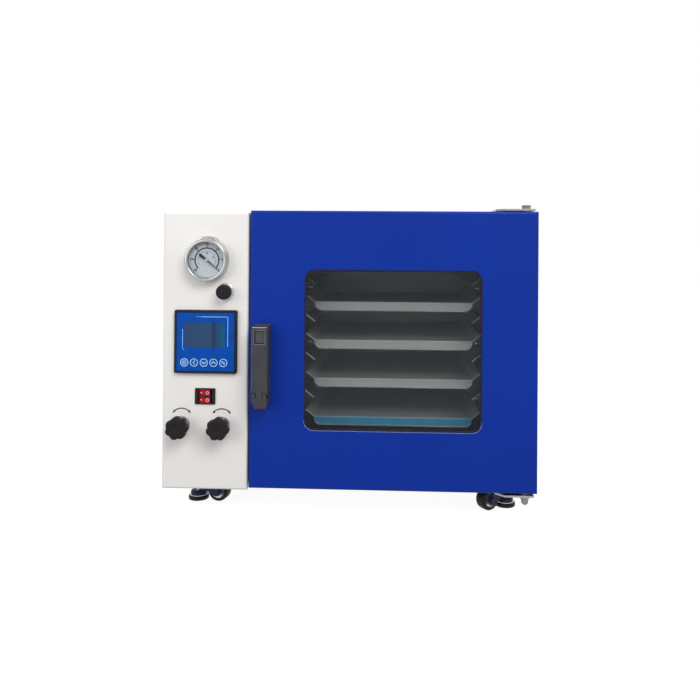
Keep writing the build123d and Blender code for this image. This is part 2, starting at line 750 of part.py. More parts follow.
def hinge_outline(rear):
    x1 = side_x - HINGE_INSET
    x0 = x1 - HINGE_W
    return [(x0, HINGE_FRONT + HINGE_CHAMFER), (x0 + HINGE_CHAMFER, HINGE_FRONT),
            (x1, HINGE_FRONT), (x1, rear), (x0, rear)]


def hinge_plates():
    """Flat stainless plates over and under the door; the upper stands on a welded spacer."""
    x1 = side_x - HINGE_INSET
    high = top_z + HINGE_SPACER
    upper = prism([(x, y, high) for x, y in hinge_outline(HINGE_TOP_REAR)], (0, 0, 1), HINGE_T)
    upper += block(x1 - HINGE_W, x1, frame_back, HINGE_TOP_REAR, top_z, high)
    upper -= rod_z(pin_x, PIN_DEPTH, high, high + HINGE_T, PIN_R)
    low = low_z - HINGE_T
    lower = prism([(x, y, low) for x, y in hinge_outline(HINGE_LOW_REAR)], (0, 0, 1), HINGE_T)
    lower -= rod_z(pin_x, PIN_DEPTH, low, low_z, PIN_R)
    return Compound([upper, lower])


def hinge_pins():
    """A bolt down through the upper plate, and a stud with nut, acorn nut and thrust washer below."""
    head_z = top_z + HINGE_SPACER + HINGE_T
    upper = rod_z(pin_x, PIN_DEPTH, door_z1 - PIN_GRIP, head_z, PIN_R)
    upper += hex_z(pin_x, PIN_DEPTH, head_z, head_z + HEAD_T, HEAD_R)
    plate_z = low_z - HINGE_T
    nut_z = plate_z - HEAD_T
    lower = rod_z(pin_x, PIN_DEPTH, nut_z, door_z0 + PIN_GRIP, PIN_R)
    lower += rod_z(pin_x, PIN_DEPTH, low_z, door_z0 - CLEAR, WASHER_R)
    lower += hex_z(pin_x, PIN_DEPTH, nut_z, plate_z, HEAD_R)
    dome = Pos(pin_x, PIN_DEPTH, nut_z - ACORN_L + ACORN_R) * Sphere(ACORN_R)
    lower += dome + rod_z(pin_x, PIN_DEPTH, nut_z - ACORN_L + ACORN_R, nut_z, ACORN_R)
    return Compound([upper, lower])


# Handle and latch

def handle_base():
    """Flat rosette on the door behind the handle, with the spindle's bore."""
    low = latch_z - HUB_DROP
    high = latch_z + ROSETTE_TOP
    outline = hub_corners(low, high)
    body = prism([(x, -ROSETTE_T, z) for x, z in outline], (0, 1, 0), ROSETTE_T)
    return body - rod_y(handle_x, latch_z, -ROSETTE_T, 0, SPINDLE_R + RUN_FIT)


def hub_corners(low, high):
    """Front outline with both lower corners cut, the left one larger."""
    x0, x1 = handle_x - HANDLE_W / 2, handle_x + HANDLE_W / 2
    return [(x0, low + HUB_CUT_Z), (x0 + HUB_CUT_X, low), (x1 - HUB_CUT_X / 2, low),
            (x1, low + HUB_CUT_Z / 2), (x1, high), (x0, high)]


def latch_cam():
    """Turning half of the handle: hub with a tongue for the lever, spindle and latch cam."""
    end_r = HANDLE_THICK / 2
    shoulder = lever_z - end_r - CLEAR
    outline = hub_corners(latch_z - HUB_DROP, shoulder)
    body = prism([(x, handle_front, z) for x, z in outline], (0, 1, 0), HANDLE_THICK)
    front = body.faces().sort_by(Axis.Y)[0].edges()
    body = chamfer(front.sort_by(Axis.Z)[:-1], LEVER_CHAMFER)
    half = TONGUE_W / 2
    body += block(handle_x - half, handle_x + half, handle_front, handle_back,
                  latch_z, lever_z)
    body += rod_x(lever_y, lever_z, handle_x - half, handle_x + half, end_r)
    body -= rod_x(lever_y, lever_z, handle_x - half, handle_x + half, LEVER_PIN_R + RUN_FIT)
    body += rod_y(handle_x, latch_z, handle_back, CAM_DEPTH + CAM_T, SPINDLE_R)
    tip = door_x0 + CAM_SHORT
    body += block(tip, handle_x, CAM_DEPTH, CAM_DEPTH + CAM_T, latch_z - CAM_H / 2,
                  latch_z + CAM_H / 2)
    return body


def handle_lever():
    """Tilting half of the handle: two ears on a cross pin, and a pocket for the button."""
    end_r = HANDLE_THICK / 2
    x0, x1 = handle_x - HANDLE_W / 2, handle_x + HANDLE_W / 2
    body = block(x0, x1, handle_front, handle_back, lever_z, lever_top)
    grip = body.faces().sort_by(Axis.Y)[0].edges().sort_by(Axis.Z)[1:]
    body = chamfer(grip, LEVER_CHAMFER)
    round_end = rod_x(lever_y, lever_z, x0, x1, end_r)
    body += round_end
    slot = TONGUE_W / 2 + CLEAR
    body -= rod_x(lever_y, lever_z, handle_x - slot, handle_x + slot, end_r + CLEAR)
    body -= block(handle_x - slot, handle_x + slot, handle_front, handle_back,
                  lever_z - end_r, lever_z)
    floor_y = handle_front + BUTTON_SINK + BUTTON_T + BUTTON_TRAVEL + CLEAR
    z1 = lever_top - BUTTON_MARGIN
    body -= plate(handle_x, z1 - BUTTON_H / 2, BUTTON_W, BUTTON_H, handle_front, floor_y)
    return body + rod_x(lever_y, lever_z, x0, x1, LEVER_PIN_R)


def handle_button():
    """Push button in the lever's pocket, with its guide stem in the middle."""
    y0 = handle_front + BUTTON_SINK
    z = lever_top - BUTTON_MARGIN - BUTTON_H / 2
    cap = plate(handle_x, z, BUTTON_W - 2 * CLEAR, BUTTON_H - 2 * CLEAR, y0, y0 + BUTTON_T)
    return chamfer(cap.faces().sort_by(Axis.Y)[0].edges(), BUTTON_CHAMFER)


# Gauge

bezel_front = bay_y - BEZEL_PROUD
dial_y = bay_y - DIAL_DEPTH
lens_y = bezel_front + LENS_SET


def gauge_case():
    """Turned steel case: rolled bezel in front, body through the fascia, socket behind."""
    back = bay_y + GAUGE_BODY_L
    bore = GAUGE_BODY_R - GAUGE_WALL
    seat = GAUGE_VIEW_R + VIEW_LAP
    outline = [(GAUGE_VIEW_R, bezel_front + BEZEL_ROLL / 2), (GAUGE_VIEW_R + BEZEL_ROLL / 2, bezel_front),
               (BEZEL_R - BEZEL_ROLL, bezel_front), (BEZEL_R, bezel_front + BEZEL_ROLL),
               (BEZEL_R, bay_y - BEZEL_REAR_CUT), (BEZEL_R - BEZEL_REAR_CUT, bay_y),
               (GAUGE_BODY_R, bay_y), (GAUGE_BODY_R, back), (SOCKET_R, back),
               (SOCKET_R, back + SOCKET_L), (0, back + SOCKET_L), (0, back - SOCKET_FLOOR),
               (bore, back - SOCKET_FLOOR), (bore, dial_y + DIAL_T), (seat, dial_y + DIAL_T),
               (seat, lens_y), (GAUGE_VIEW_R, lens_y)]
    case = turned_y(gauge_x, gauge_z, outline)
    bump_y1 = bay_y - CASE_BUMP_SET
    bump_y0 = bump_y1 - CASE_BUMP_L
    bump = block(gauge_x - CASE_BUMP_W / 2, gauge_x + CASE_BUMP_W / 2, bump_y0, bump_y1,
                 gauge_z + GAUGE_VIEW_R, gauge_z + BEZEL_R + CASE_BUMP_H)
    bump = fillet(bump.edges().filter_by(Axis.Y).group_by(Axis.Z)[-1], CASE_BUMP_R)
    bump -= rod_y(gauge_x, gauge_z, bump_y0, bump_y1, BEZEL_R - BEZEL_REAR_CUT)
    return case + bump


def gauge_dial():
    disc = rod_y(gauge_x, gauge_z, dial_y, dial_y + DIAL_T, GAUGE_VIEW_R + VIEW_LAP)
    return disc - rod_y(gauge_x, gauge_z, dial_y, dial_y + DIAL_T, POINTER_SHAFT_R + RUN_FIT)


def gauge_lens():
    return rod_y(gauge_x, gauge_z, lens_y, lens_y + LENS_T, GAUGE_VIEW_R + VIEW_LAP)


def gauge_pointer():
    """Needle with a broad tail, hub and shaft, lying at the scale's zero."""
    y0 = dial_y - POINTER_LIFT
    y1 = y0 + POINTER_T
    root, tip = POINTER_ROOT_W / 2, POINTER_TIP_W / 2
    needle = prism([(0, y0, root), (POINTER_L, y0, tip), (POINTER_L, y0, -tip), (0, y0, -root)],
                   (0, 1, 0), POINTER_T)
    needle += block(-POINTER_TAIL, 0, y0, y1, -POINTER_TAIL_W / 2, POINTER_TAIL_W / 2)
    needle += rod_y(0, 0, y0 - POINTER_HUB_RISE, y1, POINTER_HUB_R)
    needle += rod_y(0, 0, y0, dial_y + DIAL_T + POINTER_SHAFT_L, POINTER_SHAFT_R)
    turn = Rot(0, -POINTER_ZERO, 0)
    return Pos(gauge_x, 0, gauge_z) * turn * needle


# Controller

control_front = bay_y - CONTROL_PROUD
face_y = control_front + FACE_SINK


def key_place(index):
    offset = (index - (KEY_COUNT - 1) / 2) * KEY_PITCH
    return control_x + KEY_DX + offset, control_z + KEY_DZ


def controller_housing():
    """Panel-mounted case: raised frame, sunk face with display and key wells, body behind."""
    body = plate(control_x, control_z, CONTROL_W, CONTROL_W, control_front, bay_y,
                 CONTROL_CORNER_R)
    body = chamfer(body.faces().sort_by(Axis.Y)[0].edges(), CONTROL_CHAMFER)
    body += plate(control_x, control_z, CONTROL_BODY_W, CONTROL_BODY_W, bay_y,
                  bay_y + CONTROL_BODY_L)
    face = CONTROL_W - 2 * CONTROL_FRAME
    body -= plate(control_x, control_z, face, face, control_front, face_y, FACE_CORNER_R)
    body -= plate(control_x + DISPLAY_DX, control_z + DISPLAY_DZ, DISPLAY_W, DISPLAY_H,
                  face_y, face_y + DISPLAY_T)
    well = KEY_T - KEY_PROUD + KEY_TRAVEL + CLEAR
    for index in range(KEY_COUNT):
        x, z = key_place(index)
        body -= rod_y(x, z, face_y, face_y + well, KEY_R + CLEAR / 2)
    return body


def display_window():
    return plate(control_x + DISPLAY_DX, control_z + DISPLAY_DZ, DISPLAY_W, DISPLAY_H,
                 face_y, face_y + DISPLAY_T)


def key(index):
    x, z = key_place(index)
    cap = rod_y(x, z, face_y - KEY_PROUD, face_y - KEY_PROUD + KEY_T, KEY_R)
    return fillet(cap.faces().sort_by(Axis.Y)[0].edges(), KEY_EDGE_R)


# Switches

pocket_w = ROCKER_W + 2 * POCKET_GAP_X
pocket_h = ROCKER_H + 2 * CLEAR
switch_body_w = pocket_w + 2 * SWITCH_WALL_X
switch_body_h = ROCKER_PITCH + pocket_h + 2 * SWITCH_WALL_Z
switch_front = bay_y - SWITCH_PROUD
rocker_y = switch_front + ROCKER_DEPTH - ROCKER_SINK


def rocker_place(index):
    return switch_x, switch_z + (index - 0.5) * ROCKER_PITCH


def switch_housing():
    """Black snap-in case with a well for each rocker and bores for the rocker pins."""
    body = plate(switch_x, switch_z, SWITCH_W, SWITCH_H, switch_front, bay_y,
                 SWITCH_CORNER_R)
    body = chamfer(body.faces().sort_by(Axis.Y)[0].edges(), SWITCH_CHAMFER)
    body += plate(switch_x, switch_z, switch_body_w, switch_body_h, bay_y, bay_y + SWITCH_BODY_L)
    for index in (0, 1):
        x, z = rocker_place(index)
        body -= plate(x, z, pocket_w, pocket_h, switch_front, rocker_y + ROCKER_DEPTH)
        reach = pocket_h / 2 + ROCKER_PIN_BITE + RUN_FIT
        body -= rod_z(x, rocker_y, z - reach, z + reach, ROCKER_PIN_R + RUN_FIT)
    return body


def rocker(index):
    """Two-faced rocker on its pins, tipped so that the left half is pressed in."""
    half = ROCKER_W / 2 - ROCKER_TAPER
    tail = ROCKER_TAIL_W / 2
    edge = ROCKER_DEPTH - half * tan(radians(ROCKER_TILT))
    outline = [(0, -ROCKER_DEPTH), (half, -edge), (tail, ROCKER_TAIL), (-tail, ROCKER_TAIL),
               (-half, -edge)]
    body = prism([(x, y, -ROCKER_H / 2) for x, y in outline], (0, 0, 1), ROCKER_H)
    reach = pocket_h / 2 + ROCKER_PIN_BITE
    body += rod_z(0, 0, -reach, reach, ROCKER_PIN_R)
    x, z = rocker_place(index)
    return Pos(x, rocker_y, z) * Rot(0, 0, -ROCKER_TILT) * body


# Fuse holder

fuse_front = bay_y - FUSE_FLANGE_T


def fuse_holder():
    """Panel fuse holder: flange on the fascia, spigot in front and body behind."""
    body = rod_y(fuse_x, fuse_z, fuse_front, bay_y, FUSE_FLANGE_R)
    body += rod_y(fuse_x, fuse_z, fuse_front - FUSE_SPIGOT_L, fuse_front, FUSE_SPIGOT_R)
    return body + rod_y(fuse_x, fuse_z, bay_y, bay_y + FUSE_BODY_L, FUSE_BODY_R)


def fuse_cap():
    """Bayonet cap with fluted side, turning on the holder's spigot."""
    y1 = fuse_front - CLEAR
    y0 = y1 - FUSE_CAP_L
    body = rod_y(fuse_x, fuse_z, y0, y1, FUSE_CAP_R)
    body = fillet(body.faces().sort_by(Axis.Y)[0].edges(), FUSE_EDGE_R)
    for index in range(FUSE_FLUTES):
        angle = 2 * pi * index / FUSE_FLUTES
        x = fuse_x + (FUSE_CAP_R + FLUTE_OUT) * cos(angle)
        z = fuse_z + (FUSE_CAP_R + FLUTE_OUT) * sin(angle)
        body -= rod_y(x, z, y0, y1, FLUTE_R)
    deep = fuse_front - FUSE_SPIGOT_L - CLEAR
    return body - rod_y(fuse_x, fuse_z, deep, y1, FUSE_SPIGOT_R + RUN_FIT)


# Valves and pipes

valve_back = bay_back + VALVE_L
knob_front = bay_y - KNOB_PROUD


def star_knob(x):
    """Seven-lobed hand knob with its neck and the valve stem that turns in the bonnet."""
    y1 = knob_front + KNOB_T
    reach = KNOB_R - LOBE_R
    outline = Circle(reach)
    for index in range(KNOB_LOBES):
        angle = pi / 2 + 2 * pi * index / KNOB_LOBES
        outline += Pos(reach * cos(angle), reach * sin(angle)) * Circle(LOBE_R)
    outline = fillet(outline.vertices(), VALLEY_R)
    facing = Plane(origin=(x, y1, valve_z), x_dir=(1, 0, 0), z_dir=(0, -1, 0))
    body = facing * extrude(outline, amount=KNOB_T)
    body = chamfer(body.faces().sort_by(Axis.Y)[0].edges(), KNOB_CHAMFER)
    neck_y = bay_y - BONNET_PROUD - CLEAR
    body += rod_y(x, valve_z, y1, neck_y, KNOB_NECK_R)
    return body + rod_y(x, valve_z, y1, neck_y + STEM_L, STEM_R)


def valve(x):
    """Needle valve on the fascia: block behind, bonnet through it and a lock nut in front."""
    body = block(x - VALVE_W / 2, x + VALVE_W / 2, bay_back, valve_back,
                 valve_z - VALVE_W / 2, valve_z + VALVE_W / 2)
    body += rod_y(x, valve_z, bay_y - BONNET_PROUD, bay_back, BONNET_R)
    nut = Plane(origin=(x, bay_y - BONNET_NUT_T, valve_z), z_dir=(0, 1, 0))
    body += nut * extrude(RegularPolygon(BONNET_NUT_R, 6), amount=BONNET_NUT_T)
    depth = bay_y - BONNET_PROUD + STEM_L + CLEAR
    return body - rod_y(x, valve_z, bay_y - BONNET_PROUD, depth, STEM_R + RUN_FIT)


def vacuum_manifold():
    """Both valves and their brazed pipes to the chamber, the rear ports and the gauge."""
    low = port_z
    high = valve_z + PIPE_SPLIT
    cross_y = rear_y - PIPE_REAR
    gauge_back = bay_y + GAUGE_BODY_L + SOCKET_L
    tee_z = (high + TEE_RUN, port_in_z - TEE_RUN)
    body = valve(vent_x) + valve(pump_x)
    body += pipe([(pump_x, valve_back, low), (pump_x, cross_y, low), (port_x, cross_y, low),
                  (port_x, rear_y - PORT_INSIDE, low)])
    body += pipe([(vent_x, valve_back, low), (vent_x, rear_y, low)])
    body += pipe([(pump_x, valve_back, high), (pump_x, cross_y, high),
                  (pump_x, cross_y, port_in_z), (port_in_x, cross_y, port_in_z),
                  (port_in_x, chamber_back, port_in_z)])
    for z in tee_z:
        body += Pos(pump_x, cross_y, z) * Box(TEE_W, TEE_W, TEE_W)
    body += pipe([(vent_x, valve_back, high), (vent_x, cross_y, high), (vent_x, cross_y, tee_z[0]),
                  (pump_x - TEE_W / 2, cross_y, tee_z[0])])
    body += pipe([(gauge_x, gauge_back, gauge_z), (gauge_x, cross_y, gauge_z),
                  (gauge_x, cross_y, tee_z[1]), (pump_x - TEE_W / 2, cross_y, tee_z[1])],
                 bend=GAUGE_PIPE_BEND)
    return body


# Rear connections

def vacuum_port():
    """Flanged stub for the pump hose, open to the rear and closed towards the bay."""
    z = port_z
    y0 = rear_y - PORT_INSIDE
    y1 = rear_y + PORT_PROUD
    body = rod_y(port_x, z, y0, y1, PORT_BORE_R + PORT_WALL)
    flange = rod_y(port_x, z, y1 - PORT_FLANGE_T, y1, PORT_FLANGE_R)
    flange = chamfer(flange.faces().sort_by(Axis.Y)[0].edges(), PORT_FLANGE_T / 2)
    body += flange
    return body - rod_y(port_x, z, y0 + PORT_WALL, y1, PORT_BORE_R)


def power_inlet():
    """Recessed mains inlet with three blades, on a flange outside the rear panel."""
    body = plate(inlet_x, inlet_z, INLET_W, INLET_H, rear_y, rear_y + INLET_FLANGE_T,
                 INLET_CORNER_R)
    back = rear_y + INLET_FLANGE_T - INLET_DEPTH
    body += plate(inlet_x, inlet_z, INLET_MOUTH_W + 2 * INLET_WALL, INLET_MOUTH_H + 2 * INLET_WALL,
                  back - INLET_WALL, rear_y)
    body -= plate(inlet_x, inlet_z, INLET_MOUTH_W, INLET_MOUTH_H, back, rear_y + INLET_FLANGE_T)
    for step, dz in ((-1, -BLADE_OFFSET), (0, BLADE_OFFSET), (1, -BLADE_OFFSET)):
        dx = step * BLADE_PITCH / 2
        body += block(inlet_x + dx - BLADE_T / 2, inlet_x + dx + BLADE_T / 2, back,
                      back + BLADE_L, inlet_z + dz - BLADE_W / 2, inlet_z + dz + BLADE_W / 2)
    return body


# Levelling casters, built round the kingpin with the wheel on the +X side

def turned_z(points):
    """An outline of (radius, z) points turned about the Z axis."""
    profile = [(r, 0, z) for r, z in points]
    return revolve(make_face(Polyline(*profile, close=True)), Axis.Z)


def caster_yoke():
    """Cast hub on the kingpin, with two arms beside the wheel and the axle through them."""
    inside = WHEEL_W / 2 + ARM_GAP
    outside = inside + ARM_T
    near = TRAIL - WHEEL_R - WHEEL_ROOM
    body = rod_z(0, 0, HUB_LOW, hub_top, HUB_R)
    body += block(0, near, -outside, outside, ARM_LOW, ARM_TOP)
    arm = [(0, ARM_LOW), (THUMB_R, ARM_LOW), (ARM_NECK_X, axle_z - AXLE_BOSS_R),
           (TRAIL, axle_z - AXLE_BOSS_R), (TRAIL, axle_z + AXLE_BOSS_R), (near / 2, ARM_TOP),
           (0, ARM_TOP)]
    for y0 in (-outside, inside):
        body += prism([(x, y0, z) for x, z in arm], (0, 1, 0), ARM_T)
        body += rod_y(TRAIL, axle_z, y0, y0 + ARM_T, AXLE_BOSS_R)
    body -= rod_z(0, 0, HUB_LOW, ARM_TOP, FOOT_STEM_R + RUN_FIT)
    head_z = base_z - KINGPIN_DROP
    body -= rod_z(0, 0, head_z - KINGPIN_HEAD_T - FOOT_TRAVEL, head_z + CLEAR,
                  KINGPIN_HEAD_R + CLEAR)
    body -= rod_z(0, 0, head_z, hub_top, KINGPIN_R + RUN_FIT)
    body += rod_y(TRAIL, axle_z, -outside - AXLE_NUT_T, outside + AXLE_NUT_T, AXLE_R)
    for y0 in (-outside - AXLE_NUT_T, outside):
        body += rod_y(TRAIL, axle_z, y0, y0 + AXLE_NUT_T, AXLE_NUT_R)
    return body


def caster_wheel():
    """Solid wheel with a rounded tread, a dished side and its bore on the axle."""
    half = WHEEL_W / 2
    body = rod_y(TRAIL, axle_z, -half, half, WHEEL_R)
    body = fillet(body.edges().filter_by(GeomType.CIRCLE), WHEEL_EDGE_R)
    for y0, y1 in ((-half, -half + DISH_DEPTH), (half - DISH_DEPTH, half)):
        dish = rod_y(TRAIL, axle_z, y0, y1, DISH_R)
        body -= dish - rod_y(TRAIL, axle_z, y0, y1, WHEEL_BOSS_R)
    return body - rod_y(TRAIL, axle_z, -half, half, AXLE_R + RUN_FIT)


def caster_foot():
    """Rubber pad under a steel disc, with thumb wheel and threaded stem, all turning as one."""
    disc_z = PAD_T + PAD_DISC_T
    outline = [(0, 0), (PAD_R - PAD_EDGE, 0), (PAD_R, PAD_EDGE), (PAD_R, PAD_T - PAD_EDGE),
               (PAD_R - PAD_DISC_INSET, PAD_T), (PAD_R - PAD_DISC_INSET, disc_z),
               (THUMB_R, disc_z), (THUMB_R, disc_z + THUMB_T),
               (FOOT_STEM_R, disc_z + THUMB_T), (FOOT_STEM_R, FOOT_STEM_TOP), (0, FOOT_STEM_TOP)]
    return turned_z(outline)


# All nodes

def nodes():
    parts = {
        "outer_shell": outer_shell(),
        "base_plate": base_plate(),
        "rear_panel": rear_panel(),
        "front_frame": front_frame(),
        "control_fascia": control_fascia(),
        "kingpins": kingpins(),
        "chamber": chamber(),
        "chamber_gasket": chamber_gasket(),
        "jacket_heaters": jacket_heaters(),
        "insulation": insulation(),
        "rack_left": rack(-1),
        "rack_right": rack(1),
        "door_shell": door_shell(),
        "door_inner_plate": door_inner_plate(),
        "outer_pane": outer_pane(),
        "inner_glass": inner_glass(),
        "led_bars": led_bars(),
        "hinge_plates": hinge_plates(),
        "hinge_pins": hinge_pins(),
        "handle_base": handle_base(),
        "latch_cam": latch_cam(),
        "handle_lever": handle_lever(),
        "handle_button": handle_button(),
        "gauge_case": gauge_case(),
        "gauge_dial": gauge_dial(),
        "gauge_lens": gauge_lens(),
        "gauge_pointer": gauge_pointer(),
        "controller_housing": controller_housing(),
        "display_window": display_window(),
        "switch_housing": switch_housing(),
        "rocker_power": rocker(0),
        "rocker_light": rocker(1),
        "fuse_holder": fuse_holder(),
        "fuse_cap": fuse_cap(),
        "vent_knob": star_knob(vent_x),
        "vacuum_knob": star_knob(pump_x),
        "vacuum_manifold": vacuum_manifold(),
        "vacuum_port": vacuum_port(),
        "power_inlet": power_inlet(),
    }
    for number in range(SHELF_COUNT):
        parts[f"shelf_{number + 1}"] = shelf(2 * number)
    for index in range(KEY_COUNT):
        parts[f"key_{index + 1}"] = key(index)
    for corner, (x, y) in CENTRES.items():
        place = Pos(x, y, 0) * Rot(0, 0, CASTER_HEADINGS[corner])
        parts[f"caster_yoke_{corner}"] = place * caster_yoke()
        parts[f"caster_wheel_{corner}"] = place * caster_wheel()
        parts[f"caster_foot_{corner}"] = place * caster_foot()
    return parts


parts = nodes()
overall = Compound(list(parts.values())).bounding_box()
mid_y = (overall.min.Y + overall.max.Y) / 2
os.makedirs("parts", exist_ok=True)
for name, shape in parts.items():
    export_step(Pos(0, -mid_y, 0) * shape, f"parts/{name}.step")
print(len(parts), "nodes, size", overall.size, "moved in Y by", -mid_y)
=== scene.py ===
import json

import bmesh
import bpy
import numpy as np
from mathutils import Matrix, Vector

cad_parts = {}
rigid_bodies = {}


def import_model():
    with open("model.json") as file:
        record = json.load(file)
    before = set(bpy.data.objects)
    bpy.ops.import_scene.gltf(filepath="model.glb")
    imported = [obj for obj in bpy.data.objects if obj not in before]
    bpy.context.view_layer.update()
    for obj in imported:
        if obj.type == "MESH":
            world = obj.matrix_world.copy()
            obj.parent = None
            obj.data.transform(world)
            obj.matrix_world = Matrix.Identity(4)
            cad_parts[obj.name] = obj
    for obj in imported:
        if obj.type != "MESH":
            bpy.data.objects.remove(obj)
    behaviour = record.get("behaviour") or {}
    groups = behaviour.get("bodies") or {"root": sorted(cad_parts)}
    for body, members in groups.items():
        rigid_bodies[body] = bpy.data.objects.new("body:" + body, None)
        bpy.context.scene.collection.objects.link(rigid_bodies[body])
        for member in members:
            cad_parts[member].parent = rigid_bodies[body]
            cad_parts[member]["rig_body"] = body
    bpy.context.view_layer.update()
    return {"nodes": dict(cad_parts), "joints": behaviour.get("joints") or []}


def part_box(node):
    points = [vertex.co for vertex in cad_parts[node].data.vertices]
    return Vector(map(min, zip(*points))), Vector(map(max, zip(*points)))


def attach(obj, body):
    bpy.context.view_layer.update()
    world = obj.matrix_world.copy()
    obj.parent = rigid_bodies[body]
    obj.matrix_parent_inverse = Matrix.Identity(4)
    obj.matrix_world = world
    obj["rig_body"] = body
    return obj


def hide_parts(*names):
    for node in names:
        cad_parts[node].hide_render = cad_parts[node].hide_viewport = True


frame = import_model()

# Vacuum oven for the bench. Metres, in the frame of the construction: X right, Y to the rear, Z up.
MM = 0.001
WELD = 1e-7
EDGE_RINGS = 4
ROLL_SEGMENTS = 2
ROLL_ANGLE = np.radians(28.0)
MARK_T = 0.06 * MM
NUMBER_WEIGHT = 0.035
NODES = frame["nodes"]

# Camera, as the photograph was taken
CAMERA_PLACE = (0.0783, -1.2725, 0.4123)
CAMERA_YAW = 2.47
CAMERA_PITCH = 0.34
CAMERA_ROLL = 0.41
CAMERA_LENS = 35.12
CAMERA_SHIFT = (-0.029, -0.1477)

# Stage and light
WORLD_LEVEL = 0.52
KEY_POWER = 37.0
FILL_POWER = 15.0
TOP_POWER = 12.0
FLOOR_GREY = 0.28
FLOOR_LIFT = 0.90
FLOOR_REACH = 6.0


# Places read from the frame

def middle(node):
    low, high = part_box(node)
    return (low + high) / 2


def mm(rows):
    """Rows of millimetres as metres."""
    return np.asarray(rows, float) * MM


def put(name, data):
    """New object in the scene."""
    made = bpy.data.objects.new(name, data)
    bpy.context.scene.collection.objects.link(made)
    return made


# Meshes worked out as arrays

def full_turn(steps):
    return np.linspace(0, 2 * np.pi, steps, endpoint=False)


def around(cx, cz, r, a):
    """Points (x, z) about a centre, at a radius and angles in radians."""
    return np.stack([cx + r * np.cos(a), cz + r * np.sin(a)], -1)


def axes_of(axis):
    """Two unit vectors across an axis, so that u, v and the axis are right-handed."""
    w = np.asarray(axis, float) / np.linalg.norm(axis)
    helper = np.array([1.0, 0.0, 0.0]) if abs(w[0]) < 0.9 else np.array([0.0, 1.0, 0.0])
    v = np.cross(w, helper)
    v /= np.linalg.norm(v)
    return np.cross(v, w), v, w


def finish_mesh(name, points, faces, body, material, smooth=35.0):
    """Puts points and faces in a mesh, welds doubled points, turns the faces outward. Edges sharper than
    smooth, in degrees, stay sharp."""
    mesh = bpy.data.meshes.new(name)
    mesh.from_pydata(np.asarray(points, float).tolist(), [], faces)
    work = bmesh.new()
    work.from_mesh(mesh)
    bmesh.ops.remove_doubles(work, verts=work.verts, dist=WELD)
    bmesh.ops.dissolve_degenerate(work, edges=work.edges, dist=WELD)
    bmesh.ops.recalc_face_normals(work, faces=work.faces)
    work.to_mesh(mesh)
    work.free()
    mesh.shade_smooth()
    mesh.set_sharp_from_angle(angle=np.radians(smooth))
    mesh.materials.append(material)
    piece = put(name, mesh)
    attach(piece, body)
    return piece


def grid_faces(rows, cols):
    """Quads between neighbouring points of a grid whose last column is joined with its first."""
    r = np.arange(rows - 1)[:, None] * cols
    c = np.arange(cols)[None, :]
    d = (c + 1) % cols
    return np.stack([r + c, r + d, r + cols + d, r + cols + c], -1).reshape(-1, 4).tolist()


def finish_grid(name, points, body, material, smooth=35.0):
    """The mesh of rows of points, each row a closed ring."""
    rows, cols = points.shape[:2]
    return finish_mesh(name, points.reshape(-1, 3), grid_faces(rows, cols), body, material, smooth)


def turned(name, centre, axis, profile, body, material, steps=48, smooth=35.0):
    """Surface of revolution: each (radius, height) of the profile, carried once round the axis."""
    u, v, w = axes_of(axis)
    r, h = np.asarray(profile, float).T
    a = full_turn(steps)
    ring = np.cos(a)[:, None] * u + np.sin(a)[:, None] * v
    points = np.asarray(centre) + r[:, None, None] * ring + h[:, None, None] * w
    return finish_grid(name, points, body, material, smooth)


def eased(points, radius, steps=4):
    """Rounds each inner corner of an open outline with a curve from radius before to radius after it."""
    p = np.asarray(points, float)
    before, corner, after = p[:-2], p[1:-1], p[2:]
    back, ahead = before - corner, after - corner
    lengths = [np.linalg.norm(x, axis=1, keepdims=True) for x in (back, ahead)]
    reach = [np.minimum(radius, 0.45 * n) for n in lengths]
    start = corner + back / lengths[0] * reach[0]
    end = corner + ahead / lengths[1] * reach[1]
    t = np.linspace(0, 1, steps + 1)[None, :, None]
    curve = (1 - t) ** 2 * start[:, None] + 2 * t * (1 - t) * corner[:, None] + t ** 2 * end[:, None]
    return np.vstack([p[:1], curve.reshape(-1, 2), p[-1:]])


def slab(name, outline, y0, y1, body, material, edge=0.0):
    """Plate from a closed (x, z) outline, from y0 in front to y1 behind, its front rim rolled over:
    each ring of the rim is the outline moved inward by edge (1 - sin a) at a depth edge (1 - cos a)."""
    p = np.asarray(outline, float)
    along = np.roll(p, -1, 0) - np.roll(p, 1, 0)
    normal = np.stack([along[:, 1], -along[:, 0]], 1)
    normal /= np.linalg.norm(normal, axis=1, keepdims=True)
    area = np.sum(p[:, 0] * np.roll(p[:, 1], -1) - np.roll(p[:, 0], -1) * p[:, 1])
    normal *= np.sign(area)
    a = np.linspace(0, np.pi / 2, EDGE_RINGS) if edge else np.array([np.pi / 2])
    inset = np.append(edge * (1 - np.sin(a)), 0.0)
    depth = np.append(y0 + edge * (1 - np.cos(a)), y1)
    rings = p[None] - inset[:, None, None] * normal[None]
    y = np.broadcast_to(depth[:, None], rings.shape[:2])
    points = np.stack([rings[..., 0], y, rings[..., 1]], -1).reshape(-1, 3)
    count = len(p)
    faces = grid_faces(len(depth), count)
    faces += [list(range(count)), list(range(len(points) - count, len(points)))]
    return finish_mesh(name, points, faces, body, material)


def round_rect(cx, cz, w, h, r, steps=6):
    """Rectangle with quarter-circle corners, counter-clockwise as (x, z)."""
    a = np.linspace(0, np.pi / 2, steps)
    corners = []
    for quarter, (sx, sz) in enumerate(((1, 1), (-1, 1), (-1, -1), (1, -1))):
        corners.append(around(cx + sx * (w / 2 - r), cz + sz * (h / 2 - r), r, a + quarter * np.pi / 2))
    return np.vstack(corners)


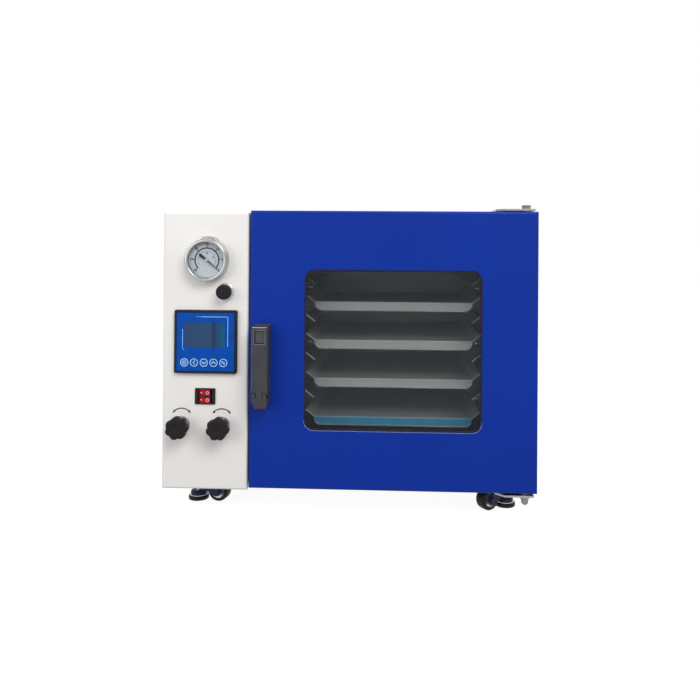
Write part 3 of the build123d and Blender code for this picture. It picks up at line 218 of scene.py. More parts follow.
def ring_band(cx, cz, r_in, r_out, start, stop, steps=40):
    """Flat band between two radii from start to stop degrees, as one closed outline."""
    a = np.radians(np.linspace(start, stop, steps))
    return np.vstack([around(cx, cz, r_out, a), around(cx, cz, r_in, a[::-1])])


def stroke(points, width):
    """Outline of a line of constant width through open (x, z) points, square at its ends."""
    p = np.asarray(points, float)
    along = np.gradient(p, axis=0)
    along /= np.linalg.norm(along, axis=1, keepdims=True)
    side = np.stack([-along[:, 1], along[:, 0]], 1) * width / 2
    return np.vstack([p + side, (p - side)[::-1]])


def tube(name, path, radius, body, slot, material, steps=10, smooth=50.0, across=(0, 1, 0)):
    """Round bar along an open path: at each point a circle of the radius, square to the mean of the runs
    beside it."""
    p = np.asarray(path, float)
    along = np.gradient(p, axis=0)
    along /= np.linalg.norm(along, axis=1, keepdims=True)
    side = np.cross(along, np.asarray(across, float))
    side /= np.linalg.norm(side, axis=1, keepdims=True)
    up = np.cross(side, along)
    a = full_turn(steps)
    ring = np.cos(a)[None, :, None] * side[:, None] + np.sin(a)[None, :, None] * up[:, None]
    rings = p[:, None] + radius * ring
    faces = grid_faces(len(rings), steps)
    faces += [list(range(steps)), list(range((len(rings) - 1) * steps, len(rings) * steps))]
    return finish_mesh(name, rings.reshape(-1, 3), faces, body, material, smooth)


def rim(name, outer, inner, depths, body, material):
    """Closed band between two (x, z) outlines of equal count. Each (share, y) row lies the share of the way
    from outer to inner at that depth; the last row is joined to the first."""
    rows = np.asarray(list(depths) + [depths[0]], float)
    outer, inner = np.asarray(outer, float), np.asarray(inner, float)
    flat = outer[None] + rows[:, :1, None] * (inner - outer)[None]
    y = np.broadcast_to(rows[:, 1:2], flat.shape[:2])
    points = np.stack([flat[..., 0], y, flat[..., 1]], -1)
    return finish_grid(name, points, body, material, 50.0)


def pierced(name, outlines, y, thickness, body, material):
    """Flat skin with holes: closed (x, z) outlines filled between the first and the others."""
    curve = bpy.data.curves.new(name, "CURVE")
    curve.dimensions = "2D"
    curve.fill_mode = "BOTH"
    curve.extrude = thickness / 2
    for outline in outlines:
        line = curve.splines.new("POLY")
        p = np.asarray(outline, float)
        line.points.add(len(p) - 1)
        line.points.foreach_set("co", np.column_stack([p, np.zeros(len(p)), np.ones(len(p))]).ravel())
        line.use_cyclic_u = True
    return upright_mesh(name, curve, 0.0, 0.0, y - thickness / 2, body, material)


def upright_mesh(name, curve, cx, cz, y, body, material):
    """Makes a flat curve a mesh, then stands it upright with its middle plane at y."""
    source = put(name + "_curve", curve)
    bpy.context.view_layer.update()
    mesh = bpy.data.meshes.new_from_object(source.evaluated_get(bpy.context.evaluated_depsgraph_get()))
    bpy.data.objects.remove(source)
    mesh.transform(Matrix.Translation((cx, y, cz)) @ Matrix.Rotation(np.pi / 2, 4, "X"))
    mesh.materials.clear()
    mesh.materials.append(material)
    mesh.name = name
    piece = put(name, mesh)
    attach(piece, body)
    return piece


def mark(name, outline, y, body, slot, material):
    """Printed mark: the outline as a skin MARK_T thick, standing on the face at y."""
    return slab(name, outline, y - MARK_T, y, body, material)


def ring_mark(name, cx, cz, r_in, r_out, y, body, slot, material, steps=48):
    """Printed ring: front and back circles at both radii, joined round its section."""
    a = full_turn(steps)
    section = ((r_out, y), (r_out, y - MARK_T), (r_in, y - MARK_T), (r_in, y), (r_out, y))
    rows = [np.insert(around(cx, cz, r, a), 1, depth, 1) for r, depth in section]
    return finish_grid(name, np.array(rows), body, material)


def numeral(name, words, size, cx, cz, y, body, slot, material):
    """A plain number as a thin mesh, centred on (cx, cz) and standing on the face at y."""
    curve = bpy.data.curves.new(name, "FONT")
    curve.body = words
    curve.size = size
    curve.align_x, curve.align_y = "CENTER", "CENTER"
    curve.extrude = MARK_T / 2
    curve.offset = NUMBER_WEIGHT * size
    return upright_mesh(name, curve, cx, cz, y - MARK_T / 2, body, material)


def ticks(name, cx, cz, angles, r_in, r_out, width, y, body, slot, material):
    """Radial strokes of a dial: a thin box for each angle, between two radii."""
    a = np.radians(np.asarray(angles, float))[:, None]
    way = np.stack([np.cos(a), np.sin(a)], -1)
    side = np.stack([-np.sin(a), np.cos(a)], -1)
    radial = np.array([r_in, r_out, r_out, r_in])[None, :, None]
    across = np.array([-1, -1, 1, 1])[None, :, None] * width / 2
    flat = np.array([cx, cz]) + radial * way + across * side
    front_face = np.insert(flat, 1, y - MARK_T, -1)
    back_face = np.insert(flat, 1, y, -1)
    points = np.concatenate([front_face, back_face], 1).reshape(-1, 3)
    box = np.array([[0, 1, 2, 3], [7, 6, 5, 4], [0, 4, 5, 1], [1, 5, 6, 2], [2, 6, 7, 3], [3, 7, 4, 0]])
    faces = (box[None] + 8 * np.arange(len(a))[:, None, None]).reshape(-1, 4).tolist()
    return finish_mesh(name, points, faces, body, material, 20.0)


def rolled_copy(node, width, material):
    """Stands for a CAD node: its own faces, joined where they are flat, with sharp edges rolled over."""
    source = NODES[node]
    work = bmesh.new()
    work.from_mesh(source.data)
    bmesh.ops.remove_doubles(work, verts=work.verts, dist=2e-6)
    bmesh.ops.dissolve_limit(work, angle_limit=np.radians(0.5), verts=work.verts, edges=work.edges)
    bmesh.ops.recalc_face_normals(work, faces=work.faces)
    mesh = bpy.data.meshes.new(node + "_rolled")
    work.to_mesh(mesh)
    work.free()
    mesh.shade_smooth()
    mesh.set_sharp_from_angle(angle=ROLL_ANGLE)
    mesh.materials.append(material)
    piece = put(node + "_rolled", mesh)
    bevel = piece.modifiers.new("rolled_edges", "BEVEL")
    bevel.width = width
    bevel.segments = ROLL_SEGMENTS
    bevel.limit_method = "ANGLE"
    bevel.angle_limit = ROLL_ANGLE
    bevel.harden_normals = True
    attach(piece, source["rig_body"])
    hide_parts(node)
    return piece


def dress(material, *names):
    """Gives CAD nodes their finish."""
    for name in names:
        for place in NODES[name].material_slots:
            place.material = material


# Materials

def fill(node, **values):
    """Sets even values on the node's own sockets."""
    for socket, value in values.items():
        node.inputs[socket.replace("_", " ")].default_value = value
    return node


def shader(name, colour, roughness, metallic=0.0, **sockets):
    """A Principled surface whose even values are set on its own sockets."""
    material = bpy.data.materials.new(name)
    material.use_nodes = True
    fill(material.node_tree.nodes["Principled BSDF"], Base_Color=(*colour, 1.0), Roughness=roughness,
         Metallic=metallic, **sockets)
    return material


def object_point(material, scale=(1, 1, 1)):
    """Object coordinates in millimetres, stretched along an axis where scale is below one."""
    tree = material.node_tree
    place = tree.nodes.new("ShaderNodeTexCoord")
    mapping = fill(tree.nodes.new("ShaderNodeMapping"), Scale=[1000 * s for s in scale])
    tree.links.new(place.outputs["Object"], mapping.inputs["Vector"])
    return mapping.outputs["Vector"]


def noise(material, point, scale, detail=3.0, rough=0.55):
    tree = material.node_tree
    cloud = fill(tree.nodes.new("ShaderNodeTexNoise"), Scale=scale, Detail=detail, Roughness=rough)
    tree.links.new(point, cloud.inputs["Vector"])
    return cloud.outputs["Fac"]


def ramp(material, value, stops):
    """Colours between (position, colour) stops."""
    tree = material.node_tree
    band = tree.nodes.new("ShaderNodeValToRGB")
    elements = band.color_ramp.elements
    while len(elements) < len(stops):
        elements.new(0.5)
    for element, (position, colour) in zip(elements, stops):
        element.position = position
        element.color = (*colour, 1.0)
    tree.links.new(value, band.inputs["Fac"])
    return band.outputs["Color"]


def spread(material, value, low, high, start=0.3, stop=0.7):
    """Maps a value between start and stop onto low to high."""
    tree = material.node_tree
    span = fill(tree.nodes.new("ShaderNodeMapRange"), From_Min=start, From_Max=stop, To_Min=low, To_Max=high)
    tree.links.new(value, span.inputs["Value"])
    return span.outputs["Result"]


def bump(material, height, distance):
    """Relief of the given distance in metres, from a 0 to 1 height."""
    tree = material.node_tree
    relief = fill(tree.nodes.new("ShaderNodeBump"), Distance=distance, Strength=1.0)
    tree.links.new(height, relief.inputs["Height"])
    plug(material, relief.outputs["Normal"], "Normal")


def plug(material, output, socket):
    surface = material.node_tree.nodes["Principled BSDF"]
    material.node_tree.links.new(output, surface.inputs[socket])


def paint(red, green, blue):
    """A colour as a screen shows it, 0 to 255, turned into light."""
    c = np.array([red, green, blue]) / 255
    return tuple(np.where(c > 0.04045, ((c + 0.055) / 1.055) ** 2.4, c / 12.92).tolist())


def tint(colour, factor):
    return tuple(min(1.0, c * factor) for c in colour)


def powder_coat(name, colour, roughness=0.38, peel=0.05, wander=0.03, **sockets):
    """Sprayed paint: a fine orange-peel relief, broad changes of shade and a slightly uneven gloss."""
    material = shader(name, colour, roughness, **sockets)
    point = object_point(material)
    shade = noise(material, point, 0.011, 2.0)
    plug(material, ramp(material, shade, [(0.3, tint(colour, 1 - wander)), (0.7, tint(colour, 1 + wander))]),
         "Base Color")
    fine = noise(material, point, 0.55, 2.0)
    plug(material, spread(material, fine, roughness - 0.03, roughness + 0.05), "Roughness")
    bump(material, fine, peel * MM)
    return material


def brushed(name, colour, roughness=0.32, grain=(0.02, 1, 1), depth=0.012, metallic=1.0):
    """Metal with long grinding lines: noise stretched along one axis sets shade, gloss and relief."""
    material = shader(name, colour, roughness, metallic)
    lines = noise(material, object_point(material, grain), 2.2, 4.0, 0.65)
    shades = [(0.25, tint(colour, 0.86)), (0.75, tint(colour, 1.08))]
    plug(material, ramp(material, lines, shades), "Base Color")
    plug(material, spread(material, lines, roughness - 0.08, roughness + 0.10), "Roughness")
    bump(material, lines, depth * MM)
    return material


def moulded(name, colour, roughness=0.45, grain=0.03, scale=1.6, gloss=0.3):
    """Moulded plastic or rubber: a fine even grain with a little change of gloss."""
    material = shader(name, colour, roughness, Specular_IOR_Level=gloss)
    point = object_point(material)
    fine = noise(material, point, scale, 3.0)
    plug(material, ramp(material, noise(material, point, 0.05, 2.0),
                        [(0.3, tint(colour, 0.9)), (0.7, tint(colour, 1.1))]), "Base Color")
    plug(material, spread(material, fine, roughness - 0.05, roughness + 0.07), "Roughness")
    bump(material, fine, grain * MM)
    return material


def glass(name, colour, alpha, roughness=0.03):
    """Clear sheet: mostly see-through, with a faint smear that changes its gloss."""
    material = shader(name, colour, roughness, Alpha=alpha, IOR=1.5)
    smear = noise(material, object_point(material, (1, 1, 0.35)), 0.03, 3.0)
    plug(material, spread(material, smear, roughness, roughness + 0.05), "Roughness")
    return material


COATS = {
    "white": ("white_powder_coat", (242, 238, 233)),
    "frame": ("frame_powder_coat", (206, 204, 202), 0.45),
    "dial": ("dial_enamel", (196, 204, 210), 0.35, 0.008, 0.015),
}
METALS = {
    "base": ("galvanised_sheet", (176, 178, 180), 0.42, (0.2, 0.2, 1)),
    "inner": ("door_lining_steel", (172, 172, 172), 0.36, (0.03, 1, 1)),
    "chamber": ("chamber_steel", (126, 127, 130), 0.36, (1, 0.03, 1)),
    "shelf": ("shelf_sheet", (216, 217, 214), 0.42, (0.03, 1, 1), 0.008, 0.55),
    "rack": ("rack_steel", (200, 200, 200), 0.26, (1, 0.05, 1)),
    "stainless": ("hinge_stainless", (158, 156, 153), 0.30, (0.05, 1, 1)),
    "bolt": ("bolt_steel", (190, 190, 190), 0.22, (1, 1, 0.2)),
    "chrome": ("bezel_steel", (168, 170, 170), 0.18, (1, 1, 1), 0.003),
    "bright": ("bright_steel", (190, 192, 194), 0.22, (1, 1, 1), 0.003, 0.62),
    "pin": ("pin_steel", (126, 127, 130), 0.24, (1, 1, 0.2)),
    # near-white steel for bars laid along edges as painted highlights
    "edge": ("lit_edge_steel", (244, 245, 245), 0.30, (1, 1, 1), 0.003, 0.1),
}
PLASTICS = {
    "handle": ("handle_grey", (62, 61, 66), 0.42, 0.035, 1.2, 0.22),
    "button": ("button_grey", (70, 69, 73), 0.36, 0.02),
    "black": ("black_plastic", (30, 29, 30), 0.36, 0.02, 1.6, 0.2),
    "navy": ("controller_frame_navy", (22, 24, 42), 0.40, 0.02, 1.6, 0.2),
    "face": ("controller_face_blue", (2, 77, 174), 0.34, 0.006, 0.8, 0.10),
    "knob": ("knob_black", (34, 29, 34), 0.42, 0.03, 1.6, 0.12),
    "rubber": ("pad_rubber", (30, 31, 46), 0.5, 0.04, 1.6, 0.2),
    "tyre": ("wheel_tread", (20, 20, 22), 0.40, 0.03, 1.6, 0.18),
    # grey for the painted shade ring at the rim of the dial
    "rim_grey": ("dial_rim_grey", (158, 159, 163), 0.40, 0.02),
    "seal": ("chamber_seal", (46, 46, 48), 0.55, 0.03),
    "ink": ("black_ink", (22, 22, 24), 0.5, 0.0),
    "pale_ink": ("pale_blue_ink", (176, 218, 252), 0.5, 0.0),
    "switch_ink": ("white_switch_mark", (240, 222, 222), 0.4, 0.0),
    "rocker": ("rocker_red", (170, 18, 34), 0.24, 0.006, 1.6, 0.14),
    "fibre": ("insulation_fibre", (220, 215, 200), 0.9, 0.4, 0.4),
    "heater": ("heater_silicone", (166, 86, 60), 0.6, 0.1, 0.4),
    "lamp": ("lamp_lens", (236, 236, 228), 0.3, 0.02),
    "bead": ("glazing_bead", (34, 46, 116), 0.40, 0.02, 1.6, 0.15),
    "film": ("blue_guard_film", (78, 198, 252), 0.30, 0.02),
    # lighter copy of the film colour, a painted highlight on the top edge of the lowest shelf
    "film_highlight": ("pale_film_edge", (170, 236, 255), 0.30, 0.02),
    # grey lighter than the handle, a painted highlight on the button frame and the handle's left edge
    "trim": ("handle_trim_grey", (98, 98, 105), 0.28, 0.01, 1.6, 0.5),
}
PANES = {
    "pane": ("outer_pane_glass", (34, 42, 54), 0.16),
    "thick_glass": ("inner_pane_glass", (52, 62, 60), 0.10),
    "lens": ("gauge_lens_glass", (120, 126, 130), 0.03),
}
MAT = {
    "blue": powder_coat("blue_powder_coat", paint(6, 48, 152), 0.36, 0.04, Specular_IOR_Level=0.14),
    "yoke": powder_coat("yoke_dark_blue", paint(30, 34, 76), 0.40, 0.05, Specular_IOR_Level=0.25),
}
for make, table in ((powder_coat, COATS), (brushed, METALS), (moulded, PLASTICS), (glass, PANES)):
    for key, (name, colour, *values) in table.items():
        MAT[key] = make(name, paint(*colour), *values)


def display_glass():
    """Screen behind glass: bands of slate blue across its width, a dark one at two thirds."""
    low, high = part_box("display_window")
    material = shader("display_slate", paint(44, 70, 110), 0.2, 0.0, Specular_IOR_Level=0.12)
    tree = material.node_tree
    apart = tree.nodes.new("ShaderNodeSeparateXYZ")
    tree.links.new(object_point(material), apart.inputs[0])
    across = spread(material, apart.outputs["X"], 0.0, 1.0, low.x * 1000, high.x * 1000)
    bands = [(0.0, paint(42, 72, 114)), (0.66, paint(48, 76, 112)), (0.70, paint(34, 58, 92)),
             (0.76, paint(36, 64, 98)), (0.82, paint(30, 78, 114)), (1.0, paint(20, 90, 128))]
    plug(material, ramp(material, across, bands), "Base Color")
    return material


MAT["display"] = display_glass()


# Camera, light and floor

def aim_camera():
    """Camera at the photograph's place, turned by yaw, pitch and roll from looking along +Y."""
    lens = bpy.data.cameras.new("photo_camera")
    lens.lens = CAMERA_LENS
    lens.sensor_width = 36.0
    lens.shift_x, lens.shift_y = CAMERA_SHIFT
    camera = put("photo_camera", lens)
    yaw = Matrix.Rotation(np.radians(CAMERA_YAW), 4, "Z")
    pitch = Matrix.Rotation(np.radians(90 + CAMERA_PITCH), 4, "X")
    roll = Matrix.Rotation(np.radians(CAMERA_ROLL), 4, "Z")
    camera.matrix_world = Matrix.Translation(CAMERA_PLACE) @ yaw @ pitch @ roll
    bpy.context.scene.camera = camera


def area_light(name, place, target, size, power):
    data = bpy.data.lights.new(name, "AREA")
    data.shape = "RECTANGLE"
    data.size, data.size_y = size
    data.energy = power
    light = put(name, data)
    look = (Vector(target) - Vector(place)).to_track_quat("-Z", "Y")
    light.matrix_world = Matrix.Translation(place) @ look.to_matrix().to_4x4()


def seen_directly(nodes, links):
    """One where a ray comes from the camera, a gloss or a glass, else zero."""
    path = nodes.new("ShaderNodeLightPath")
    seen = path.outputs["Is Camera Ray"]
    for kind in ("Is Glossy Ray", "Is Transmission Ray"):
        larger = nodes.new("ShaderNodeMath")
        larger.operation = "MAXIMUM"
        links.new(seen, larger.inputs[0])
        links.new(path.outputs[kind], larger.inputs[1])
        seen = larger.outputs[0]
    return seen


def set_world():
    """White where it is seen, and a soft even light otherwise."""
    world = bpy.data.worlds.new("studio")
    bpy.context.scene.world = world
    world.use_nodes = True
    nodes, links = world.node_tree.nodes, world.node_tree.links
    nodes.clear()
    out = nodes.new("ShaderNodeOutputWorld")
    mix = nodes.new("ShaderNodeMixShader")
    soft = fill(nodes.new("ShaderNodeBackground"), Color=(0.93, 0.96, 1.0, 1), Strength=WORLD_LEVEL)
    white = fill(nodes.new("ShaderNodeBackground"), Color=(1, 1, 1, 1), Strength=1.0)
    links.new(seen_directly(nodes, links), mix.inputs["Fac"])
    links.new(soft.outputs[0], mix.inputs[1])
    links.new(white.outputs[0], mix.inputs[2])
    links.new(mix.outputs[0], out.inputs["Surface"])


def lay_floor():
    """White floor: a pale surface that keeps shadows, lifted to white where it is seen."""
    corners = [(x * FLOOR_REACH, y * FLOOR_REACH, 0) for x, y in ((-1, -1), (1, -1), (1, 1), (-1, 1))]
    mesh = bpy.data.meshes.new("floor")
    mesh.from_pydata(corners, [], [(0, 1, 2, 3)])
    floor = put("floor", mesh)
    material = bpy.data.materials.new("studio_floor")
    material.use_nodes = True
    nodes, links = material.node_tree.nodes, material.node_tree.links
    nodes.clear()
    out = nodes.new("ShaderNodeOutputMaterial")
    add = nodes.new("ShaderNodeAddShader")
    matte = fill(nodes.new("ShaderNodeBsdfDiffuse"), Color=(FLOOR_GREY, FLOOR_GREY, FLOOR_GREY, 1))
    lift = fill(nodes.new("ShaderNodeEmission"), Color=(1, 1, 1, 1))
    scale = nodes.new("ShaderNodeMath")
    scale.operation = "MULTIPLY"
    scale.inputs[1].default_value = FLOOR_LIFT
    links.new(seen_directly(nodes, links), scale.inputs[0])
    links.new(scale.outputs[0], lift.inputs["Strength"])
    links.new(matte.outputs[0], add.inputs[0])
    links.new(lift.outputs[0], add.inputs[1])
    links.new(add.outputs[0], out.inputs["Surface"])
    mesh.materials.append(material)


aim_camera()
set_world()
lay_floor()
centre = (0.0, 0.0, 0.25)
area_light("key", (0.9, -2.0, 1.9), centre, (1.6, 1.2), KEY_POWER)
area_light("fill", (-1.6, -1.8, 1.0), centre, (1.6, 1.6), FILL_POWER)
area_light("top", (0.0, 0.3, 2.4), centre, (2.0, 1.4), TOP_POWER)
bpy.context.scene.view_settings.view_transform = "Standard"


# Nodes that keep their own shape, and their finishes

FINISHES = {
    "white": ("outer_shell", "control_fascia", "rear_panel"),
    "frame": ("front_frame",),
    "base": ("base_plate",),
    "chrome": ("vacuum_manifold",),
    "blue": ("door_shell",),
    "inner": ("door_inner_plate",),
    "chamber": ("chamber",),
    "rack": ("rack_left", "rack_right"),
    "seal": ("chamber_gasket",),
    "heater": ("jacket_heaters",),
    "fibre": ("insulation",),
    "pane": ("outer_pane",),
    "thick_glass": ("inner_glass",),
    "lens": ("gauge_lens",),
    "lamp": ("led_bars",),
    "stainless": ("vacuum_port",),
    "bolt": ("kingpins",),
    "pin": ("hinge_pins",),
    "dial": ("gauge_dial",),
    "ink": ("gauge_pointer",),
    "black": ("fuse_holder",),
    "navy": ("controller_housing",),
    "display": ("display_window",),
}
for finish, names in FINISHES.items():
    dress(MAT[finish], *names)

JOINTS = {joint["name"]: joint for joint in frame["joints"]}


def ring_of(cx, cz, r, steps=48):
    return around(cx, cz, r, full_turn(steps))


def pan_head(name, place, axis, r):
    """Pan-head screw seen from outside: rounded head whose middle is sunk in a socket."""
    profile = [(0, 0.1), (0.34, 0.1), (0.4, 0.46), (0.46, 0.5), (0.7, 0.46), (0.9, 0.3), (1, 0.08),
               (1, -0.05), (0, -0.05)]
    turned(name, place, axis, np.array(profile) * r, "cabinet", MAT["bolt"], 24, 40.0)


# Door: window bead, dark border of the pane, and a near-white bar along the lower edge of the bead, a painted
# highlight

PANE_LAP = 8.0 * MM
WINDOW_R = 16.0 * MM
BEAD_W = 1.1 * MM
BORDER_W = 3.0 * MM
BORDER_T = 0.08 * MM
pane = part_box("outer_pane")
door_mid = middle("outer_pane")
door_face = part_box("door_shell")[0].y
window_w = pane[1].x - pane[0].x - 2 * PANE_LAP
window_h = pane[1].z - pane[0].z - 2 * PANE_LAP


def window_outline(inset):
    """The opening moved inward: counter-clockwise from the upper right, its second half the lower one."""
    return round_rect(door_mid.x, door_mid.z, window_w - 2 * inset, window_h - 2 * inset, WINDOW_R - inset, 12)


opening, bead_in = window_outline(0.0), window_outline(BEAD_W)
bead = [(0.0, 0.1), (0.25, 0.0), (0.6, 0.25), (0.95, 0.9), (1.0, 1.5), (0.0, 1.5)]
rim("window_bead", opening, bead_in, [(share, door_face + depth * MM) for share, depth in bead],
    "door", MAT["bead"])
border = [(0.0, pane[0].y - BORDER_T), (1.0, pane[0].y - BORDER_T), (1.0, pane[0].y), (0.0, pane[0].y)]
rim("window_dark_border", bead_in, window_outline(BORDER_W), border, "door", MAT["black"])
lower_half = opening[len(opening) // 2:]
# painted highlight: a near-white bar along the lower half of the opening, where light from above falls
tube("window_painted_highlight", np.insert(lower_half, 1, door_face + 0.5 * MM, 1), 0.5 * MM,
     "door", "stainless", MAT["edge"])


# Shelves: rolled sheet with a hem, near-white bars on its front edges as painted highlights, and a film on the
# lowest

SHELF_CUT = 7.0 * MM
FLANGE = 14.5 * MM
WING = 13.0 * MM
WING_SLOPE = 12.0 / 15.5
FILM_INSET = 1.2 * MM
FILM_T = 0.15 * MM


def bar(name, path, radius, slot, finish, **options):
    """Bar of the cabinet along (x, y, z) points, its radius in millimetres."""
    return tube(name, path, radius * MM, "cabinet", slot, MAT[finish], **options)


def dress_shelf(number):
    """Rolled copy of a shelf, the hem round its front flange, and bars along the front edges of flange and
    wings, coloured as painted highlights.
    """
    node = "shelf_%d" % number
    low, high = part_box(node)
    left, right, top = low.x + WING, high.x - WING, low.z + FLANGE
    rolled_copy(node, 0.5 * MM, MAT["shelf"])
    foot, knee, brow = low.z + 0.4 * MM, low.z + SHELF_CUT, top - 1.5 * MM
    hem = eased([(left, brow), (left, knee), (left + SHELF_CUT, foot),
                 (right - SHELF_CUT, foot), (right, knee), (right, brow)], 3.0 * MM)
    bar(node + "_hem", np.insert(hem, 1, low.y + 0.2 * MM, 1), 0.75, "shelf_metal", "rack")
    # painted highlight: a near-white bar along the flange's top edge, in pale film colour on the lowest shelf
    y, z = low.y + 0.5 * MM, top - 0.5 * MM
    bar(node + "_top_highlight", [(left, y, z), (right, y, z)], 0.8, "shelf_metal",
        "film_highlight" if number == 1 else "edge")
    # painted highlights: near-white bars along the front edges of the wings
    y, z, reach = low.y + 0.3 * MM, top - 0.3 * MM, WING - 0.4 * MM
    for side, root, way in (("left", left, -1), ("right", right, 1)):
        bar("%s_wing_edge_%s" % (node, side), [(root, y, z), (root + way * reach, y, z + reach * WING_SLOPE)],
            0.65, "shelf_metal", "edge", steps=8)


def lay_film():
    """Film on the front flange of the lowest shelf, cut at its lower corners as the flange is."""
    low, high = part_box("shelf_1")
    cx, left, right = (low.x + high.x) / 2, low.x + WING, high.x - WING
    foot, knee, brow = low.z + 2.0 * MM, low.z + SHELF_CUT + 0.6 * MM, low.z + 12.6 * MM
    film_left, film_right = left + FILM_INSET, right - FILM_INSET
    outline = eased([(cx, foot), (right - SHELF_CUT, foot), (film_right, knee), (film_right, brow),
                     (film_left, brow), (film_left, knee), (left + SHELF_CUT, foot), (cx - 0.1 * MM, foot)],
                    2.0 * MM)
    slab("shelf_guard_film", outline, low.y - FILM_T, low.y, "cabinet", MAT["film"])


for number in (1, 2, 3, 4):
    dress_shelf(number)
lay_film()


# Racks: dome nuts on the standoffs, and near-white bars on the front edges of sheet and ledges as painted
# highlights

RACK_DEPTH = 7.0 * MM
NUT_INSET = 60.0 * MM
LEDGE_DROP = 12.0 * MM
SHEET_T = 1.2 * MM
NUT = mm([(0, -0.2), (5.2, -0.2), (5.2, 0.8), (4.0, 0.9), (4.0, 2.4), (3.6, 3.6), (2.6, 4.8), (1.3, 5.4),
          (0, 5.6)])
first_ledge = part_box("shelf_1")[0].z + FLANGE
LEVEL_STEP = (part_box("shelf_2")[0].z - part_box("shelf_1")[0].z) / 2


def dress_rack(node, side):
    """Nuts midway between ledges 0, 3 and 6 and the next, and a near-white bar along each front edge, a painted
    highlight.
    """
    low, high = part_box(node)
    inner, tip = (low.x + RACK_DEPTH, high.x) if side == 1 else (high.x - RACK_DEPTH, low.x)
    for row, level in enumerate((0, 3, 6)):
        z = first_ledge + level * LEVEL_STEP + (LEVEL_STEP + LEDGE_DROP) / 2 - SHEET_T
        for column, y in enumerate((low.y + NUT_INSET, high.y - NUT_INSET)):
            turned("%s_nut_%d_%d" % (node, row, column), (inner, y, z), (side, 0, 0), NUT,
                   "cabinet", MAT["bolt"], 20)
    rise = abs(tip - inner) * WING_SLOPE
    # painted highlights: near-white bars along each ledge's front edge
    for level in range(8):
        y, z = low.y + 0.2 * MM, first_ledge + level * LEVEL_STEP - 1.6 * MM
        bar("%s_ledge_edge_%d" % (node, level), [(tip, y, z), (inner, y, z + rise)], 0.75,
            "stainless", "edge", steps=8)
    # painted highlight: a near-white bar along the sheet's front edge
    x, y = inner - side * 0.5 * MM, low.y + 0.1 * MM
    bar(node + "_front_highlight", [(x, y, low.z + 1 * MM), (x, y, high.z - 1 * MM)], 0.6,
        "stainless", "edge", steps=8)


dress_rack("rack_left", 1)
dress_rack("rack_right", -1)


# Gauge: bezel with its crown, printed dial, needle

gauge = middle("gauge_dial")
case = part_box("gauge_case")
bezel_y, panel_y = case[0].y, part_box("control_fascia")[0].y
R_BEZEL = (case[1].x - case[0].x) / 2
GAUGE_VIEW = 27.5 * MM
CROWN_FROM, CROWN_TO = 52, 128
CROWN_HALF_ANGLE, CROWN_FLANK = 35, 19
CROWN_RISE = 4.4 * MM


def gauge_body():
    """Case turned about the dial's axis: lip, rolled bezel, side to the panel, body and socket behind it.
    Points are measured outward from the view or inward from the bezel, and backward from its front."""
    back = case[1].y
    view = lambda outward, depth: (GAUGE_VIEW + outward * MM, -(bezel_y + depth * MM))
    edge = lambda inward, depth: (R_BEZEL - inward * MM, -(bezel_y + depth * MM))
    body, floor, seat = -(back - 8 * MM), -(back - 11 * MM), -(gauge.y + 0.6 * MM)
    profile = [view(0.6, 4.2), view(0, 3.9), view(0, 2.0), view(0.2, 1.3), view(0.9, 0.45), view(1.8, 0.05),
               edge(2.6, 0.0), edge(1.5, 0.25), edge(0.6, 0.9), edge(0.1, 1.9), edge(0, 3.0), edge(0, 6.4),
               edge(0.5, 6.7), edge(0.5, 7.3), edge(0, 7.6), edge(0, 17.0), edge(1, 18.0), edge(4, 18.0),
               (R_BEZEL - 4 * MM, body), (7 * MM, body), (7 * MM, -back), (0, -back), (0, floor),
               (GAUGE_VIEW, floor), (GAUGE_VIEW, seat), (GAUGE_VIEW + 0.6 * MM, seat), view(0.6, 4.2)]
    piece = turned("gauge_bezel", (gauge.x, 0, gauge.z), (0, -1, 0), profile, "cabinet",
                   MAT["chrome"], 96, 40.0)
    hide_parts("gauge_case")


def gauge_crown():
    """Crown over the bezel: its top is the circle of the bezel raised by a low hump, flat in its middle,
    whose flanks follow t t (3 - 2 t)."""
    a = np.radians(np.linspace(CROWN_FROM, CROWN_TO, 41))
    t = np.clip((np.radians(CROWN_HALF_ANGLE) - np.abs(a - np.pi / 2)) / np.radians(CROWN_FLANK), 0, 1)
    r = R_BEZEL - 0.6 * MM + CROWN_RISE * t * t * (3 - 2 * t)
    outline = np.vstack([around(gauge.x, gauge.z, r, a), around(gauge.x, gauge.z, R_BEZEL - 3 * MM, a[::-1])])
    slab("gauge_crown", outline, bezel_y + 7.6 * MM, panel_y - 0.6 * MM,
         "cabinet", MAT["chrome"], 0.5 * MM)


gauge_body()
gauge_crown()
DIAL_PRINT = (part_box("gauge_dial")[0].y, "cabinet", "pointer_black", MAT["ink"])
SCALE_LOW, SCALE_HIGH = -41.0, 221.0
SCALE_R = 19.6 * MM


def dial_arc(name, r_in, r_out, steps):
    mark(name, ring_band(gauge.x, gauge.z, r_in, r_out, SCALE_LOW, SCALE_HIGH, steps), *DIAL_PRINT)


def dial_ticks(name, count, r_in, r_out, width):
    ticks(name, gauge.x, gauge.z, np.linspace(SCALE_LOW, SCALE_HIGH, count), r_in, r_out, width, *DIAL_PRINT)


def dial_numbers(name, values, angles, size, r):
    """Upright numbers, each centred at its angle and the radius."""
    for step, (value, a) in enumerate(zip(values, np.radians(angles))):
        numeral("%s_%d" % (name, step), str(value), size, *around(gauge.x, gauge.z, r, a), *DIAL_PRINT)


